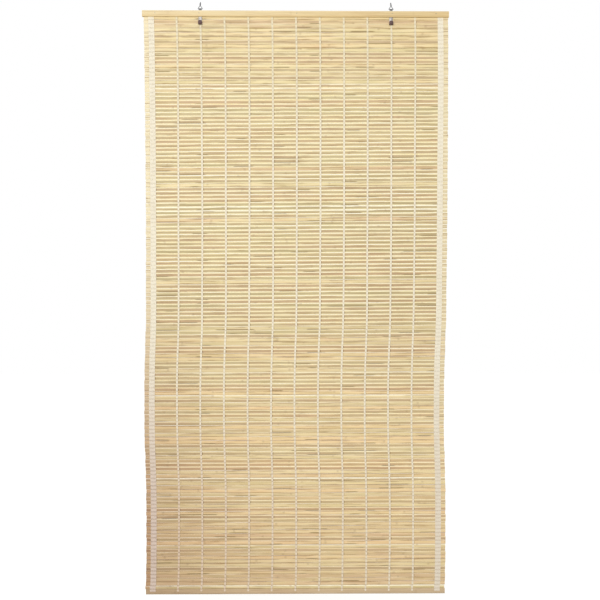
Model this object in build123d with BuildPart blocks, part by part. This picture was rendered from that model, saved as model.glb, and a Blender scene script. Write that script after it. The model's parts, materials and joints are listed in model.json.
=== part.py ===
from build123d import *
import os
from math import atan2, degrees, radians, tan

# Bamboo roll-up blind, millimetres, +Z up, +Y towards the wall, front face towards -Y.
# The origin is the middle of the head rail's back face, which lies against the wall.

# Head rail: two bamboo strips that clamp the top of the mat between them
RAIL_LENGTH = 900.0
RAIL_HEIGHT = 18.0
BACK_STRIP = 5.0
FRONT_STRIP = 5.0
RAIL_EDGE_ROUND = 1.6
RAIL_BACK_EASE = 0.5
RAIL_OVERHANG = 3.0
MAT_INSET = 3.0

# Mat: split bamboo slats, each with a flat face and edges planed off in front and behind
SLAT_COUNT = 150
SLAT_PITCH = 11.4
SLAT_THICKNESS = 2.2
SLAT_EDGE_WIDTH = 2.2
SLAT_EDGE_DEPTH = 0.9
SLAT_BACK_EDGE_WIDTH = 0.9
SLAT_BACK_EDGE_DEPTH = 0.4
OPEN_SEAM_COUNT = 120
FIRST_OPEN_SEAM = 2
SEAM_GAP = 0.8

# Cotton: warp threads and the two woven edge tapes, in front of the slats and behind them
YARN_THICKNESS = 0.6
THREAD_COUNT = 11
THREAD_WIDTH = 3.2
TAPE_WIDTH = 17.0
TAPE_FROM_SLAT_END = 13.5
TAPE_TO_THREAD = 75.0
YARN_TAIL = 8.0

# Bottom batten: the wide last slat that weighs the mat down
BATTEN_HEIGHT = 16.0
BATTEN_THICKNESS = 6.0
BATTEN_EDGE_ROUND = 1.4

# Strap hooks: plated steel straps clamped in the rail, with a tie hook below it
STRAP_COLUMN = 4
STRAP_WIDTH = 10.0
STRAP_THICKNESS = 1.2
STRAP_PLAY = 0.1
HOOK_DROP = 23.0
HOOK_RADIUS = 4.2
TIP_RISE = 6.4
TIP_WALL = 0.8
TIP_ROUND = 4.6
TIP_WRAP_ANGLE = 110.0

# Hangers: bent wire loops that swing in the rolled upper ends of the straps
WIRE_DIAMETER = 1.6
WIRE_FLATS = 8
WIRE_SPACING = 1.7
LOOP_RISE = 4.5
LOOP_WIDTH = 15.2
LOOP_HEIGHT = 9.4
LOOP_BEND = 1.6
NECK_BEND = 3.0
TWIST_LENGTH = 3.6
TWIST_DIAMETER = 4.2
HOOK_RISE = 7.2
HOOK_SPAN = 7.2
HOOK_RETURN = 6.8
HOOK_LEAN = 1.8
HOOK_BEND_SHARE = 0.45
KNUCKLE_PLAY = 0.15
KNUCKLE_ANGLE = 240.0
TONGUE_PLAY = 0.4

# Brads, square wire nails with flat heads: three through the rail and one through each strap
BRAD_HEAD_WIDTH = 3.0
BRAD_HEAD_HEIGHT = 2.0
BRAD_HEAD_THICKNESS = 0.4
BRAD_SHANK = 1.3
BRAD_BITE = 3.0
BRAD_FROM_RAIL_TOP = 7.5
BRAD_FROM_THREAD = 3.2
BRAD_FROM_TAPE = 4.5
BRAD_PLAY = 0.05

# Every cut runs past the faces that it leaves by this much
OVERRUN = 1.0

# Depths in front of the wall, from the back strip to the face of the front strip
slat_back = BACK_STRIP + YARN_THICKNESS
slat_face = slat_back + SLAT_THICKNESS
yarn_face = slat_face + YARN_THICKNESS
rail_face = yarn_face + FRONT_STRIP
strap_middle = yarn_face + STRAP_THICKNESS / 2
knuckle_radius = WIRE_DIAMETER / 2 + KNUCKLE_PLAY + STRAP_THICKNESS / 2
bar_depth = strap_middle - knuckle_radius

# Heights
rail_top = RAIL_HEIGHT / 2
rail_bottom = -RAIL_HEIGHT / 2
mat_top = rail_top - MAT_INSET
mat_bottom = mat_top - SLAT_COUNT * SLAT_PITCH
bar_height = rail_top + LOOP_RISE
hook_bottom = rail_bottom - HOOK_DROP
bend_height = hook_bottom + TIP_WALL + STRAP_THICKNESS / 2 + HOOK_RADIUS
tip_top = bend_height + TIP_RISE

# Places along the rail
slat_length = RAIL_LENGTH - 2 * RAIL_OVERHANG
tape_middle = slat_length / 2 - TAPE_FROM_SLAT_END - TAPE_WIDTH / 2
thread_pitch = 2 * (tape_middle - TAPE_TO_THREAD) / (THREAD_COUNT - 1)
thread_places = [(index - (THREAD_COUNT - 1) / 2) * thread_pitch for index in range(THREAD_COUNT)]
strap_place = STRAP_COLUMN * thread_pitch
brad_height = rail_top - BRAD_FROM_RAIL_TOP
outer_brad = tape_middle - TAPE_WIDTH / 2 - BRAD_FROM_TAPE
rail_brad_places = [(x, brad_height) for x in (-outer_brad, BRAD_FROM_THREAD, outer_brad)]
strap_brad_places = [(side * (strap_place + BRAD_FROM_THREAD), brad_height) for side in (-1, 1)]

# The loop's legs lean in to the twisted neck, and the strap's tongue fits between its corners
leg_run = (LOOP_WIDTH - WIRE_SPACING) / 2
leg_lean = degrees(atan2(leg_run, LOOP_HEIGHT))
corner_reach = LOOP_BEND * tan(radians((90 + leg_lean) / 2))
tongue_width = LOOP_WIDTH - 2 * corner_reach - 2 * TONGUE_PLAY
neck_height = bar_height + LOOP_HEIGHT

os.makedirs("parts", exist_ok=True)


def save(piece, name):
    """Label one finished piece and write it to its own file."""
    piece.label = name
    export_step(piece, f"parts/{name}.step")


def brad_holes(depth_from, depth_to):
    """Cut the holes of all brads into the part being built, between two depths."""
    with BuildSketch(Plane.XZ.offset(depth_from)) as holes:
        with Locations(*rail_brad_places, *strap_brad_places):
            Rectangle(BRAD_SHANK + 2 * BRAD_PLAY, BRAD_SHANK + 2 * BRAD_PLAY)
    extrude(holes.sketch, amount=depth_to - depth_from, mode=Mode.SUBTRACT)


# Back strip of the head rail: its brad holes stop short of the wall face
with BuildPart() as back_strip:
    with BuildSketch(Plane.YZ):
        with Locations((-BACK_STRIP / 2, 0)):
            strip_section = Rectangle(BACK_STRIP, RAIL_HEIGHT)
        fillet(strip_section.vertices(), RAIL_BACK_EASE)
    extrude(amount=RAIL_LENGTH / 2, both=True)
    brad_holes(BACK_STRIP - BRAD_BITE - BRAD_PLAY, BACK_STRIP + OVERRUN)
save(back_strip.part, "head_rail_back")

# Front strip of the head rail: rounded face, with a recess behind it for each strap
with BuildPart() as front_strip:
    with BuildSketch(Plane.YZ):
        with Locations((-yarn_face - FRONT_STRIP / 2, 0)):
            strip_section = Rectangle(FRONT_STRIP, RAIL_HEIGHT)
        face_corners = strip_section.vertices().group_by(Axis.X)[0]
        fillet(face_corners, RAIL_EDGE_ROUND)
    extrude(amount=RAIL_LENGTH / 2, both=True)
    with BuildSketch(Plane.XZ.offset(yarn_face - OVERRUN)):
        with Locations((-strap_place, 0), (strap_place, 0)):
            Rectangle(STRAP_WIDTH + 2 * STRAP_PLAY, RAIL_HEIGHT + 2 * OVERRUN)
    extrude(amount=OVERRUN + STRAP_THICKNESS + STRAP_PLAY, mode=Mode.SUBTRACT)
    brad_holes(yarn_face - OVERRUN, rail_face + OVERRUN)
save(front_strip.part, "head_rail_front")

# One slat across its width: flat face, planed edges in front, narrower ones behind
with BuildSketch() as slat_section:
    seam = SLAT_PITCH / 2
    with BuildLine() as upper_half:
        Polyline(
            (-slat_face, 0),
            (-slat_face, seam - SLAT_EDGE_WIDTH),
            (SLAT_EDGE_DEPTH - slat_face, seam),
            (-slat_back - SLAT_BACK_EDGE_DEPTH, seam),
            (-slat_back, seam - SLAT_BACK_EDGE_WIDTH),
            (-slat_back, 0),
        )
        mirror(upper_half.line, about=Plane.XZ)
    make_face()

# The mat: slat beside slat, with see-through seams from tape to tape down to where they lie tight
with BuildPart() as mat:
    with BuildSketch(Plane.YZ):
        with Locations((0, (mat_top + mat_bottom) / 2)):
            with GridLocations(0, SLAT_PITCH, 1, SLAT_COUNT):
                add(slat_section.sketch)
    extrude(amount=slat_length / 2, both=True)
    open_seams_middle = mat_top - (FIRST_OPEN_SEAM + (OPEN_SEAM_COUNT - 1) / 2) * SLAT_PITCH
    with BuildSketch(Plane.XZ.offset(slat_back - OVERRUN)):
        with Locations((0, open_seams_middle)):
            with GridLocations(0, SLAT_PITCH, 1, OPEN_SEAM_COUNT):
                Rectangle(2 * tape_middle, SEAM_GAP)
    extrude(amount=SLAT_THICKNESS + 2 * OVERRUN, mode=Mode.SUBTRACT)
    brad_holes(slat_back - OVERRUN, slat_face + OVERRUN)
save(mat.part, "slat_mat")

# Bottom batten: flush with the slats in front, so that the yarns lie flat across its upper half
with BuildPart() as batten:
    with BuildSketch(Plane.YZ):
        with Locations((BATTEN_THICKNESS / 2 - slat_face, mat_bottom - BATTEN_HEIGHT / 2)):
            batten_section = Rectangle(BATTEN_THICKNESS, BATTEN_HEIGHT)
        fillet(batten_section.vertices().group_by(Axis.Y)[0], BATTEN_EDGE_ROUND)
    extrude(amount=slat_length / 2, both=True)
save(batten.part, "bottom_batten")


def yarn_band(place, width, name):
    """Build the front and back runs of one warp thread or edge tape.

    Args:
        place: middle of the band along the rail.
        width: width of the band.
        name: name of the piece.
    """
    with BuildPart() as band:
        front_bottom = mat_bottom - YARN_TAIL
        with BuildSketch(Plane.XZ.offset(slat_face)):
            with Locations((place, (mat_top + front_bottom) / 2)):
                Rectangle(width, mat_top - front_bottom)
        extrude(amount=YARN_THICKNESS)
        with BuildSketch(Plane.XZ.offset(BACK_STRIP)):
            with Locations((place, (mat_top + mat_bottom) / 2)):
                Rectangle(width, mat_top - mat_bottom)
        extrude(amount=YARN_THICKNESS)
    save(band.part, name)


yarn_band(-tape_middle, TAPE_WIDTH, "edge_tape_left")
yarn_band(tape_middle, TAPE_WIDTH, "edge_tape_right")
for number, thread_place in enumerate(thread_places, start=1):
    yarn_band(thread_place, THREAD_WIDTH, f"warp_thread_{number:02d}")


def strap_hook(place, name):
    """Build one strap: tongue rolled round the hanger, flat run in the rail, tie hook below.

    Args:
        place: middle of the strap along the rail.
        name: name of the piece.

    Returns:
        The strap as a part, which the tip over its hook is cut by.
    """
    tip_depth = strap_middle + 2 * HOOK_RADIUS
    tip_end = tip_top - TIP_WALL
    with BuildPart() as strap:
        with BuildSketch(Plane.YZ.offset(place)):
            with BuildLine():
                Line((-strap_middle, rail_bottom), (-strap_middle, bar_height))
                CenterArc((-bar_depth, bar_height), knuckle_radius, 180, -KNUCKLE_ANGLE)
            trace(line_width=STRAP_THICKNESS)
        extrude(amount=tongue_width / 2, both=True)
        with BuildSketch(Plane.YZ.offset(place)):
            with BuildLine():
                Line((-strap_middle, rail_top), (-strap_middle, bend_height))
                CenterArc((-strap_middle - HOOK_RADIUS, bend_height), HOOK_RADIUS, 0, -180)
                Line((-tip_depth, bend_height), (-tip_depth, tip_end))
            trace(line_width=STRAP_THICKNESS)
        extrude(amount=STRAP_WIDTH / 2, both=True)
        tip_corners = strap.edges().filter_by(Axis.Y).group_by(Axis.Y)[0]
        fillet(tip_corners, TIP_ROUND - TIP_WALL)
        brad_holes(yarn_face - OVERRUN, yarn_face + STRAP_THICKNESS + OVERRUN)
    save(strap.part, name)
    return strap.part


def hook_tip(place, strap, name):
    """Build the dark vinyl tip that is pushed over one tie hook.

    Args:
        place: middle of the strap along the rail.
        strap: the strap that fills the inside of the tip.
        name: name of the piece.
    """
    tip_depth = strap_middle + 2 * HOOK_RADIUS
    with BuildPart() as tip:
        with BuildSketch(Plane.YZ.offset(place)):
            with BuildLine():
                CenterArc(
                    (-strap_middle - HOOK_RADIUS, bend_height),
                    HOOK_RADIUS,
                    TIP_WRAP_ANGLE - 180,
                    -TIP_WRAP_ANGLE,
                )
                Line((-tip_depth, bend_height), (-tip_depth, tip_top))
            trace(line_width=STRAP_THICKNESS + 2 * TIP_WALL)
        extrude(amount=STRAP_WIDTH / 2 + TIP_WALL, both=True)
        fillet(tip.edges().filter_by(Axis.Y).group_by(Axis.Y)[0], TIP_ROUND)
        add(strap, mode=Mode.SUBTRACT)
    save(tip.part, name)


def hanger(place, side, name):
    """Build one wire hanger: triangular loop, twisted neck and open hook, bent from one wire.

    Args:
        place: middle of the loop along the rail.
        side: -1 on the left and 1 on the right, where the hook leans the other way.
        name: name of the piece.
    """
    shank = place + side * WIRE_SPACING / 2
    tail = place - side * WIRE_SPACING / 2
    crown = shank - side * HOOK_LEAN
    twist_top = neck_height + TWIST_LENGTH
    crown_height = twist_top + HOOK_RISE
    back_depth = bar_depth - HOOK_SPAN
    hook_bend = HOOK_SPAN * HOOK_BEND_SHARE
    route_points = [
        (crown, -back_depth, crown_height - HOOK_RETURN),
        (crown, -back_depth, crown_height),
        (crown, -bar_depth, crown_height),
        (shank, -bar_depth, twist_top),
        (shank, -bar_depth, neck_height),
        (place + side * LOOP_WIDTH / 2, -bar_depth, bar_height),
        (place - side * LOOP_WIDTH / 2, -bar_depth, bar_height),
        (tail, -bar_depth, neck_height),
        (tail, -bar_depth, twist_top - WIRE_DIAMETER / 2),
    ]
    bends = [hook_bend, hook_bend, NECK_BEND, NECK_BEND, LOOP_BEND, LOOP_BEND, NECK_BEND]
    with BuildPart() as wire_loop:
        with BuildLine() as route:
            FilletPolyline(*route_points, radius=bends)
        with BuildSketch(Plane(origin=route.line @ 0, z_dir=route.line % 0)):
            RegularPolygon(WIRE_DIAMETER / 2, WIRE_FLATS)
        sweep(path=route.line)
        with BuildSketch(Plane.XY.offset(neck_height)):
            with Locations((place, -bar_depth)):
                RegularPolygon(TWIST_DIAMETER / 2, WIRE_FLATS)
        extrude(amount=TWIST_LENGTH)
    save(wire_loop.part, name)


for side, side_name in ((-1, "left"), (1, "right")):
    hook_strap = strap_hook(side * strap_place, f"strap_hook_{side_name}")
    hook_tip(side * strap_place, hook_strap, f"hook_tip_{side_name}")
    hanger(side * strap_place, side, f"hanger_{side_name}")


def brads(places, name):
    """Build a group of brads driven through the rail from the front.

    Args:
        places: (x, z) of each brad.
        name: name of the piece.
    """
    with BuildPart() as group:
        with BuildSketch(Plane.XZ.offset(rail_face)):
            with Locations(*places):
                Rectangle(BRAD_HEAD_WIDTH, BRAD_HEAD_HEIGHT)
        extrude(amount=BRAD_HEAD_THICKNESS)
        with BuildSketch(Plane.XZ.offset(rail_face)):
            with Locations(*places):
                Rectangle(BRAD_SHANK, BRAD_SHANK)
        extrude(amount=BACK_STRIP - BRAD_BITE - rail_face)
    save(group.part, name)


brads(rail_brad_places, "rail_brads")
brads(strap_brad_places, "strap_brads")
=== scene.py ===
"""Looks of the bamboo roll-up blind: split slats on twined cotton, clamped rail, tie hooks and wire hangers.

Everything is in metres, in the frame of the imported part: +X right, +Y towards the wall, +Z up.
"""
import json
import logging
import math
from collections.abc import Callable, Sequence
from dataclasses import dataclass, field
from enum import Enum

import bmesh
import bpy
from mathutils import Matrix, Vector


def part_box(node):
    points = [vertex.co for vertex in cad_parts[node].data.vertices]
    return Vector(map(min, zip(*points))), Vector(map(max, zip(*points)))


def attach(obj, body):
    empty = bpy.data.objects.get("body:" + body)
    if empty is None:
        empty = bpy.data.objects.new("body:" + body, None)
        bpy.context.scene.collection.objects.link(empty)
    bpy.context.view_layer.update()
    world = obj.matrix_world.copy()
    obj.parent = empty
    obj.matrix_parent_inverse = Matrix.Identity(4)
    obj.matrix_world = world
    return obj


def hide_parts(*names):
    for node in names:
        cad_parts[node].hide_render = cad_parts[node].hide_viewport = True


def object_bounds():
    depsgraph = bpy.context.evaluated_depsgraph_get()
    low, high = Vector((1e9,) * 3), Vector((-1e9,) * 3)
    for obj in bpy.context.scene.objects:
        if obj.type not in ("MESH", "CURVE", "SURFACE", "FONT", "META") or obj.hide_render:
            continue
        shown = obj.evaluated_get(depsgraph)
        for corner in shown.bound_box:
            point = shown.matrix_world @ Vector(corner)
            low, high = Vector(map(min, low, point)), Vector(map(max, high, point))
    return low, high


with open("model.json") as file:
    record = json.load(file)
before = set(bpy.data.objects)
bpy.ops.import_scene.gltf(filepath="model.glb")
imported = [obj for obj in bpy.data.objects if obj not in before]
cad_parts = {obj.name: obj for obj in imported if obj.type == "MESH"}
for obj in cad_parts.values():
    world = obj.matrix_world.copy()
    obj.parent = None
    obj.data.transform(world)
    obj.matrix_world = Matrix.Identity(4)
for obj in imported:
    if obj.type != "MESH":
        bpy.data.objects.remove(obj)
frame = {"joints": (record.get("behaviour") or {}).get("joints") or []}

CAD_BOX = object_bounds()
MM = 0.001
PHOTO_SIDE = 600
FILM_WIDTH = 36.0
SHARP_ANGLE = 66.0

log = logging.getLogger("blind")

Colour = tuple[float, float, float]
Triple = tuple[float, float, float]
# The two ends of a stretch, of a range or of a smooth step, which may also fall.
Span = tuple[float, float]
Stops = Sequence[tuple[float, Colour]]
Shares = Sequence[tuple[float, float]]

WHITE: Colour = (1.0, 1.0, 1.0)


class Body(Enum):
    """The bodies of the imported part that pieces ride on."""

    BLIND = "blind"
    LEFT_HANGER = "left_hanger"
    RIGHT_HANGER = "right_hanger"


class Side(Enum):
    """The two ends of the rail, as the sign of X."""

    LEFT = -1
    RIGHT = 1

    @property
    def word(self) -> str:
        """The side's name as the nodes spell it."""
        return self.name.lower()

    @property
    def hanger_body(self) -> Body:
        """The body of the hanger on this side."""
        return Body.LEFT_HANGER if self is Side.LEFT else Body.RIGHT_HANGER

    @property
    def hinge(self) -> Vector:
        """The middle of the hinge that this side's hanger swings on."""
        return Vector(next(j["pos_m"] for j in frame["joints"] if j["child"] == self.hanger_body.value))


class Blend(Enum):
    """How one colour goes over another."""

    COVER = "MIX"
    TINT = "MULTIPLY"


class MixSocket(Enum):
    """The sockets of a colour Mix node, by their numbers."""

    SHARE = 0
    FIRST = 6
    SECOND = 7
    RESULT = 2


class Value:
    """An output socket of a node tree, with arithmetic that adds Math nodes."""

    def __init__(self, graph: "Graph", socket: bpy.types.NodeSocket) -> None:
        """Wrap one output socket of a graph."""
        self.graph = graph
        self.socket = socket

    def other(self, name: str) -> "Value":
        """Another output of the same node."""
        return Value(self.graph, Graph.pick(self.socket.node.outputs, name))

    def maths(self, operation: str, *operands: "Value | float") -> "Value":
        """Add a Math node on the given operands."""
        return self.graph.node("ShaderNodeMath", {"operation": operation}, dict(enumerate(operands)))

    def __add__(self, other: "Value | float") -> "Value":
        """Sum."""
        return self.maths("ADD", self, other)

    def __radd__(self, other: float) -> "Value":
        """Sum with a plain number first."""
        return self.maths("ADD", other, self)

    def __sub__(self, other: "Value | float") -> "Value":
        """Difference."""
        return self.maths("SUBTRACT", self, other)

    def __rsub__(self, other: float) -> "Value":
        """Difference from a plain number."""
        return self.maths("SUBTRACT", other, self)

    def __mul__(self, other: "Value | float") -> "Value":
        """Product."""
        return self.maths("MULTIPLY", self, other)

    def __rmul__(self, other: float) -> "Value":
        """Product with a plain number first."""
        return self.maths("MULTIPLY", other, self)

    def __truediv__(self, other: "Value | float") -> "Value":
        """Quotient."""
        return self.maths("DIVIDE", self, other)

    def __rtruediv__(self, other: float) -> "Value":
        """Quotient of a plain number."""
        return self.maths("DIVIDE", other, self)

    def __abs__(self) -> "Value":
        """Absolute value."""
        return self.maths("ABSOLUTE", self)

    def fraction(self) -> "Value":
        """What is left after the whole number."""
        return self.maths("FRACT", self)

    def whole(self) -> "Value":
        """The whole number at or below the value."""
        return self.maths("FLOOR", self)

    def sine(self) -> "Value":
        """Sine of an angle in radians."""
        return self.maths("SINE", self)

    def least(self, other: "Value | float") -> "Value":
        """The smaller of two values."""
        return self.maths("MINIMUM", self, other)

    def most(self, other: "Value | float") -> "Value":
        """The larger of two values."""
        return self.maths("MAXIMUM", self, other)

    def rise(self, start: float, end: float) -> "Value":
        """A smooth step.

        Args:
            start: where the step is 0.
            end: where it is 1, which may be the smaller number.

        Returns:
            The step.
        """
        if start > end:
            return 1 - self.rise(end, start)
        inputs = {"Value": self, "From Min": start, "From Max": end}
        return self.graph.node("ShaderNodeMapRange", {"interpolation_type": "SMOOTHSTEP"}, inputs)


Feed = Value | float | int | str | Sequence[float] | bpy.types.Material


class Graph:
    """A node tree, with one method that adds any node."""

    def __init__(self, tree: bpy.types.NodeTree) -> None:
        """Wrap an empty node tree."""
        self.tree = tree

    @staticmethod
    def pick(sockets: Sequence[bpy.types.NodeSocket], key: str | int) -> bpy.types.NodeSocket:
        """Find a socket by its number, or by its name among those in use.

        Args:
            sockets: the inputs or outputs of a node.
            key: number or name of the socket.

        Returns:
            The socket.
        """
        if isinstance(key, int):
            return sockets[key]
        for socket in sockets:
            if socket.enabled and socket.name == key:
                return socket
        raise KeyError(f"no socket {key!r} among {[s.name for s in sockets if s.enabled]}")

    def node(self, kind: str, settings: dict | None = None, inputs: dict | None = None,
             out: str | int = 0) -> Value | None:
        """Add a node of any kind.

        Args:
            kind: Blender's type name of the node.
            settings: properties, set first; stops fill a ramp and points fill a curve.
            inputs: plain values or links for the sockets, by name or number.
            out: name or number of the output that is returned.

        Returns:
            The chosen output, or nothing where the node has none.
        """
        made = self.tree.nodes.new(kind)
        for name, setting in (settings or {}).items():
            if name == "stops":
                self._fill_ramp(made.color_ramp, setting)
            elif name == "points":
                self._fill_curve(made.mapping, setting)
            else:
                setattr(made, name, setting)
        for key, value in (inputs or {}).items():
            self.feed(self.pick(made.inputs, key), value)
        return Value(self, self.pick(made.outputs, out)) if made.outputs else None

    def feed(self, socket: bpy.types.NodeSocket, value: Feed) -> None:
        """Link a value to an input, or set the input's own value.

        Args:
            socket: the input.
            value: an output to link, or a plain value.
        """
        if isinstance(value, Value):
            self.tree.links.new(value.socket, socket)
        elif socket.type == "RGBA":
            socket.default_value = (*value, 1.0)
        else:
            socket.default_value = value

    @staticmethod
    def _fill_ramp(ramp: bpy.types.ColorRamp, stops: Stops) -> None:
        """Give a colour ramp its stops.

        Args:
            ramp: the ramp.
            stops: place and colour of each stop.
        """
        while len(ramp.elements) < len(stops):
            ramp.elements.new(1.0)
        for element, (place, colour) in zip(ramp.elements, stops):
            element.position = place
            element.color = (*colour, 1.0)

    @staticmethod
    def _fill_curve(mapping: bpy.types.CurveMapping, points: Shares) -> None:
        """Give a float curve its points.

        Args:
            mapping: the curve's mapping.
            points: place and height of each point.
        """
        curve = mapping.curves[0]
        while len(curve.points) < len(points):
            curve.points.new(1.0, 1.0)
        for point, place in zip(curve.points, points):
            point.location = place
        mapping.update()

    def combine(self, x: Value | float, y: Value | float, z: Value | float) -> Value:
        """A vector from three values."""
        return self.node("ShaderNodeCombineXYZ", None, {"X": x, "Y": y, "Z": z})

    def separate(self, vector: Value) -> tuple[Value, Value, Value]:
        """The three values of a vector."""
        x = self.node("ShaderNodeSeparateXYZ", None, {"Vector": vector})
        return x, x.other("Y"), x.other("Z")

    def noise(self, vector: Value, detail: float = 2.0, roughness: float = 0.5) -> Value:
        """Noise about 0.5 over a vector that is already scaled."""
        inputs = {"Vector": vector, "Scale": 1.0, "Detail": detail, "Roughness": roughness}
        return self.node("ShaderNodeTexNoise", {"noise_dimensions": "3D"}, inputs)

    def curve(self, share: Value, points: Shares) -> Value:
        """A smooth curve through points between 0 and 1."""
        return self.node("ShaderNodeFloatCurve", {"points": points}, {"Value": share})

    def mix(self, share: Value | float, first: Value | Colour, second: Value | Colour,
            blend: Blend = Blend.COVER) -> Value:
        """Put a share of a second colour over a first one.

        Args:
            share: how much of the second colour shows.
            first: the colour below.
            second: the colour above.
            blend: how it goes over the first.

        Returns:
            The mixed colour.
        """
        settings = {"data_type": "RGBA", "blend_type": blend.value}
        inputs = {MixSocket.SHARE.value: share, MixSocket.FIRST.value: first, MixSocket.SECOND.value: second}
        return self.node("ShaderNodeMix", settings, inputs, MixSocket.RESULT.value)

    def tint(self, share: Value | float, colour: Value, by: Value | Colour) -> Value:
        """Multiply a colour by a tint, as far as a share says."""
        return self.mix(share, colour, by, Blend.TINT)

    def ramp(self, share: Value, stops: Stops) -> Value:
        """A colour from a ramp."""
        return self.node("ShaderNodeValToRGB", {"stops": stops}, {0: share})


class Surface(Graph):
    """The node tree of one material with a single principled shader."""

    def __init__(self, name: str) -> None:
        """Make an empty material with its shader and output.

        Args:
            name: name of the material.
        """
        self.material = bpy.data.materials.new(name)
        self.material.use_nodes = True
        super().__init__(self.material.node_tree)
        self.tree.nodes.clear()
        shader = self.node("ShaderNodeBsdfPrincipled", None, None, "BSDF")
        self.shader = shader.socket.node
        self.node("ShaderNodeOutputMaterial", None, {"Surface": shader})

    def place(self) -> tuple[Value, Value, Value]:
        """Object coordinates."""
        return self.separate(self.node("ShaderNodeTexCoord", None, None, "Object"))

    def attribute(self, name: str) -> Value:
        """A number kept on the mesh."""
        return self.node("ShaderNodeAttribute", {"attribute_name": name}, None, "Fac")

    def speckle(self, rates: Triple, detail: float = 2.0, roughness: float = 0.5) -> Value:
        """Noise over the object coordinates, at a rate for each axis."""
        scaled = (place * rate for place, rate in zip(self.place(), rates))
        return self.noise(self.combine(*scaled), detail, roughness)

    def bump(self, height: Value, distance: float, strength: float) -> Value:
        """A bump from a height field."""
        inputs = {"Height": height, "Distance": distance, "Strength": strength}
        return self.node("ShaderNodeBump", None, inputs)

    def dress(self, **sockets: Feed) -> bpy.types.Material:
        """Feed the shader.

        Args:
            sockets: what each socket gets, with underscores for the spaces in its name.

        Returns:
            The material.
        """
        for name, value in sockets.items():
            self.feed(self.shader.inputs[name.replace("_", " ")], value)
        return self.material


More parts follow.
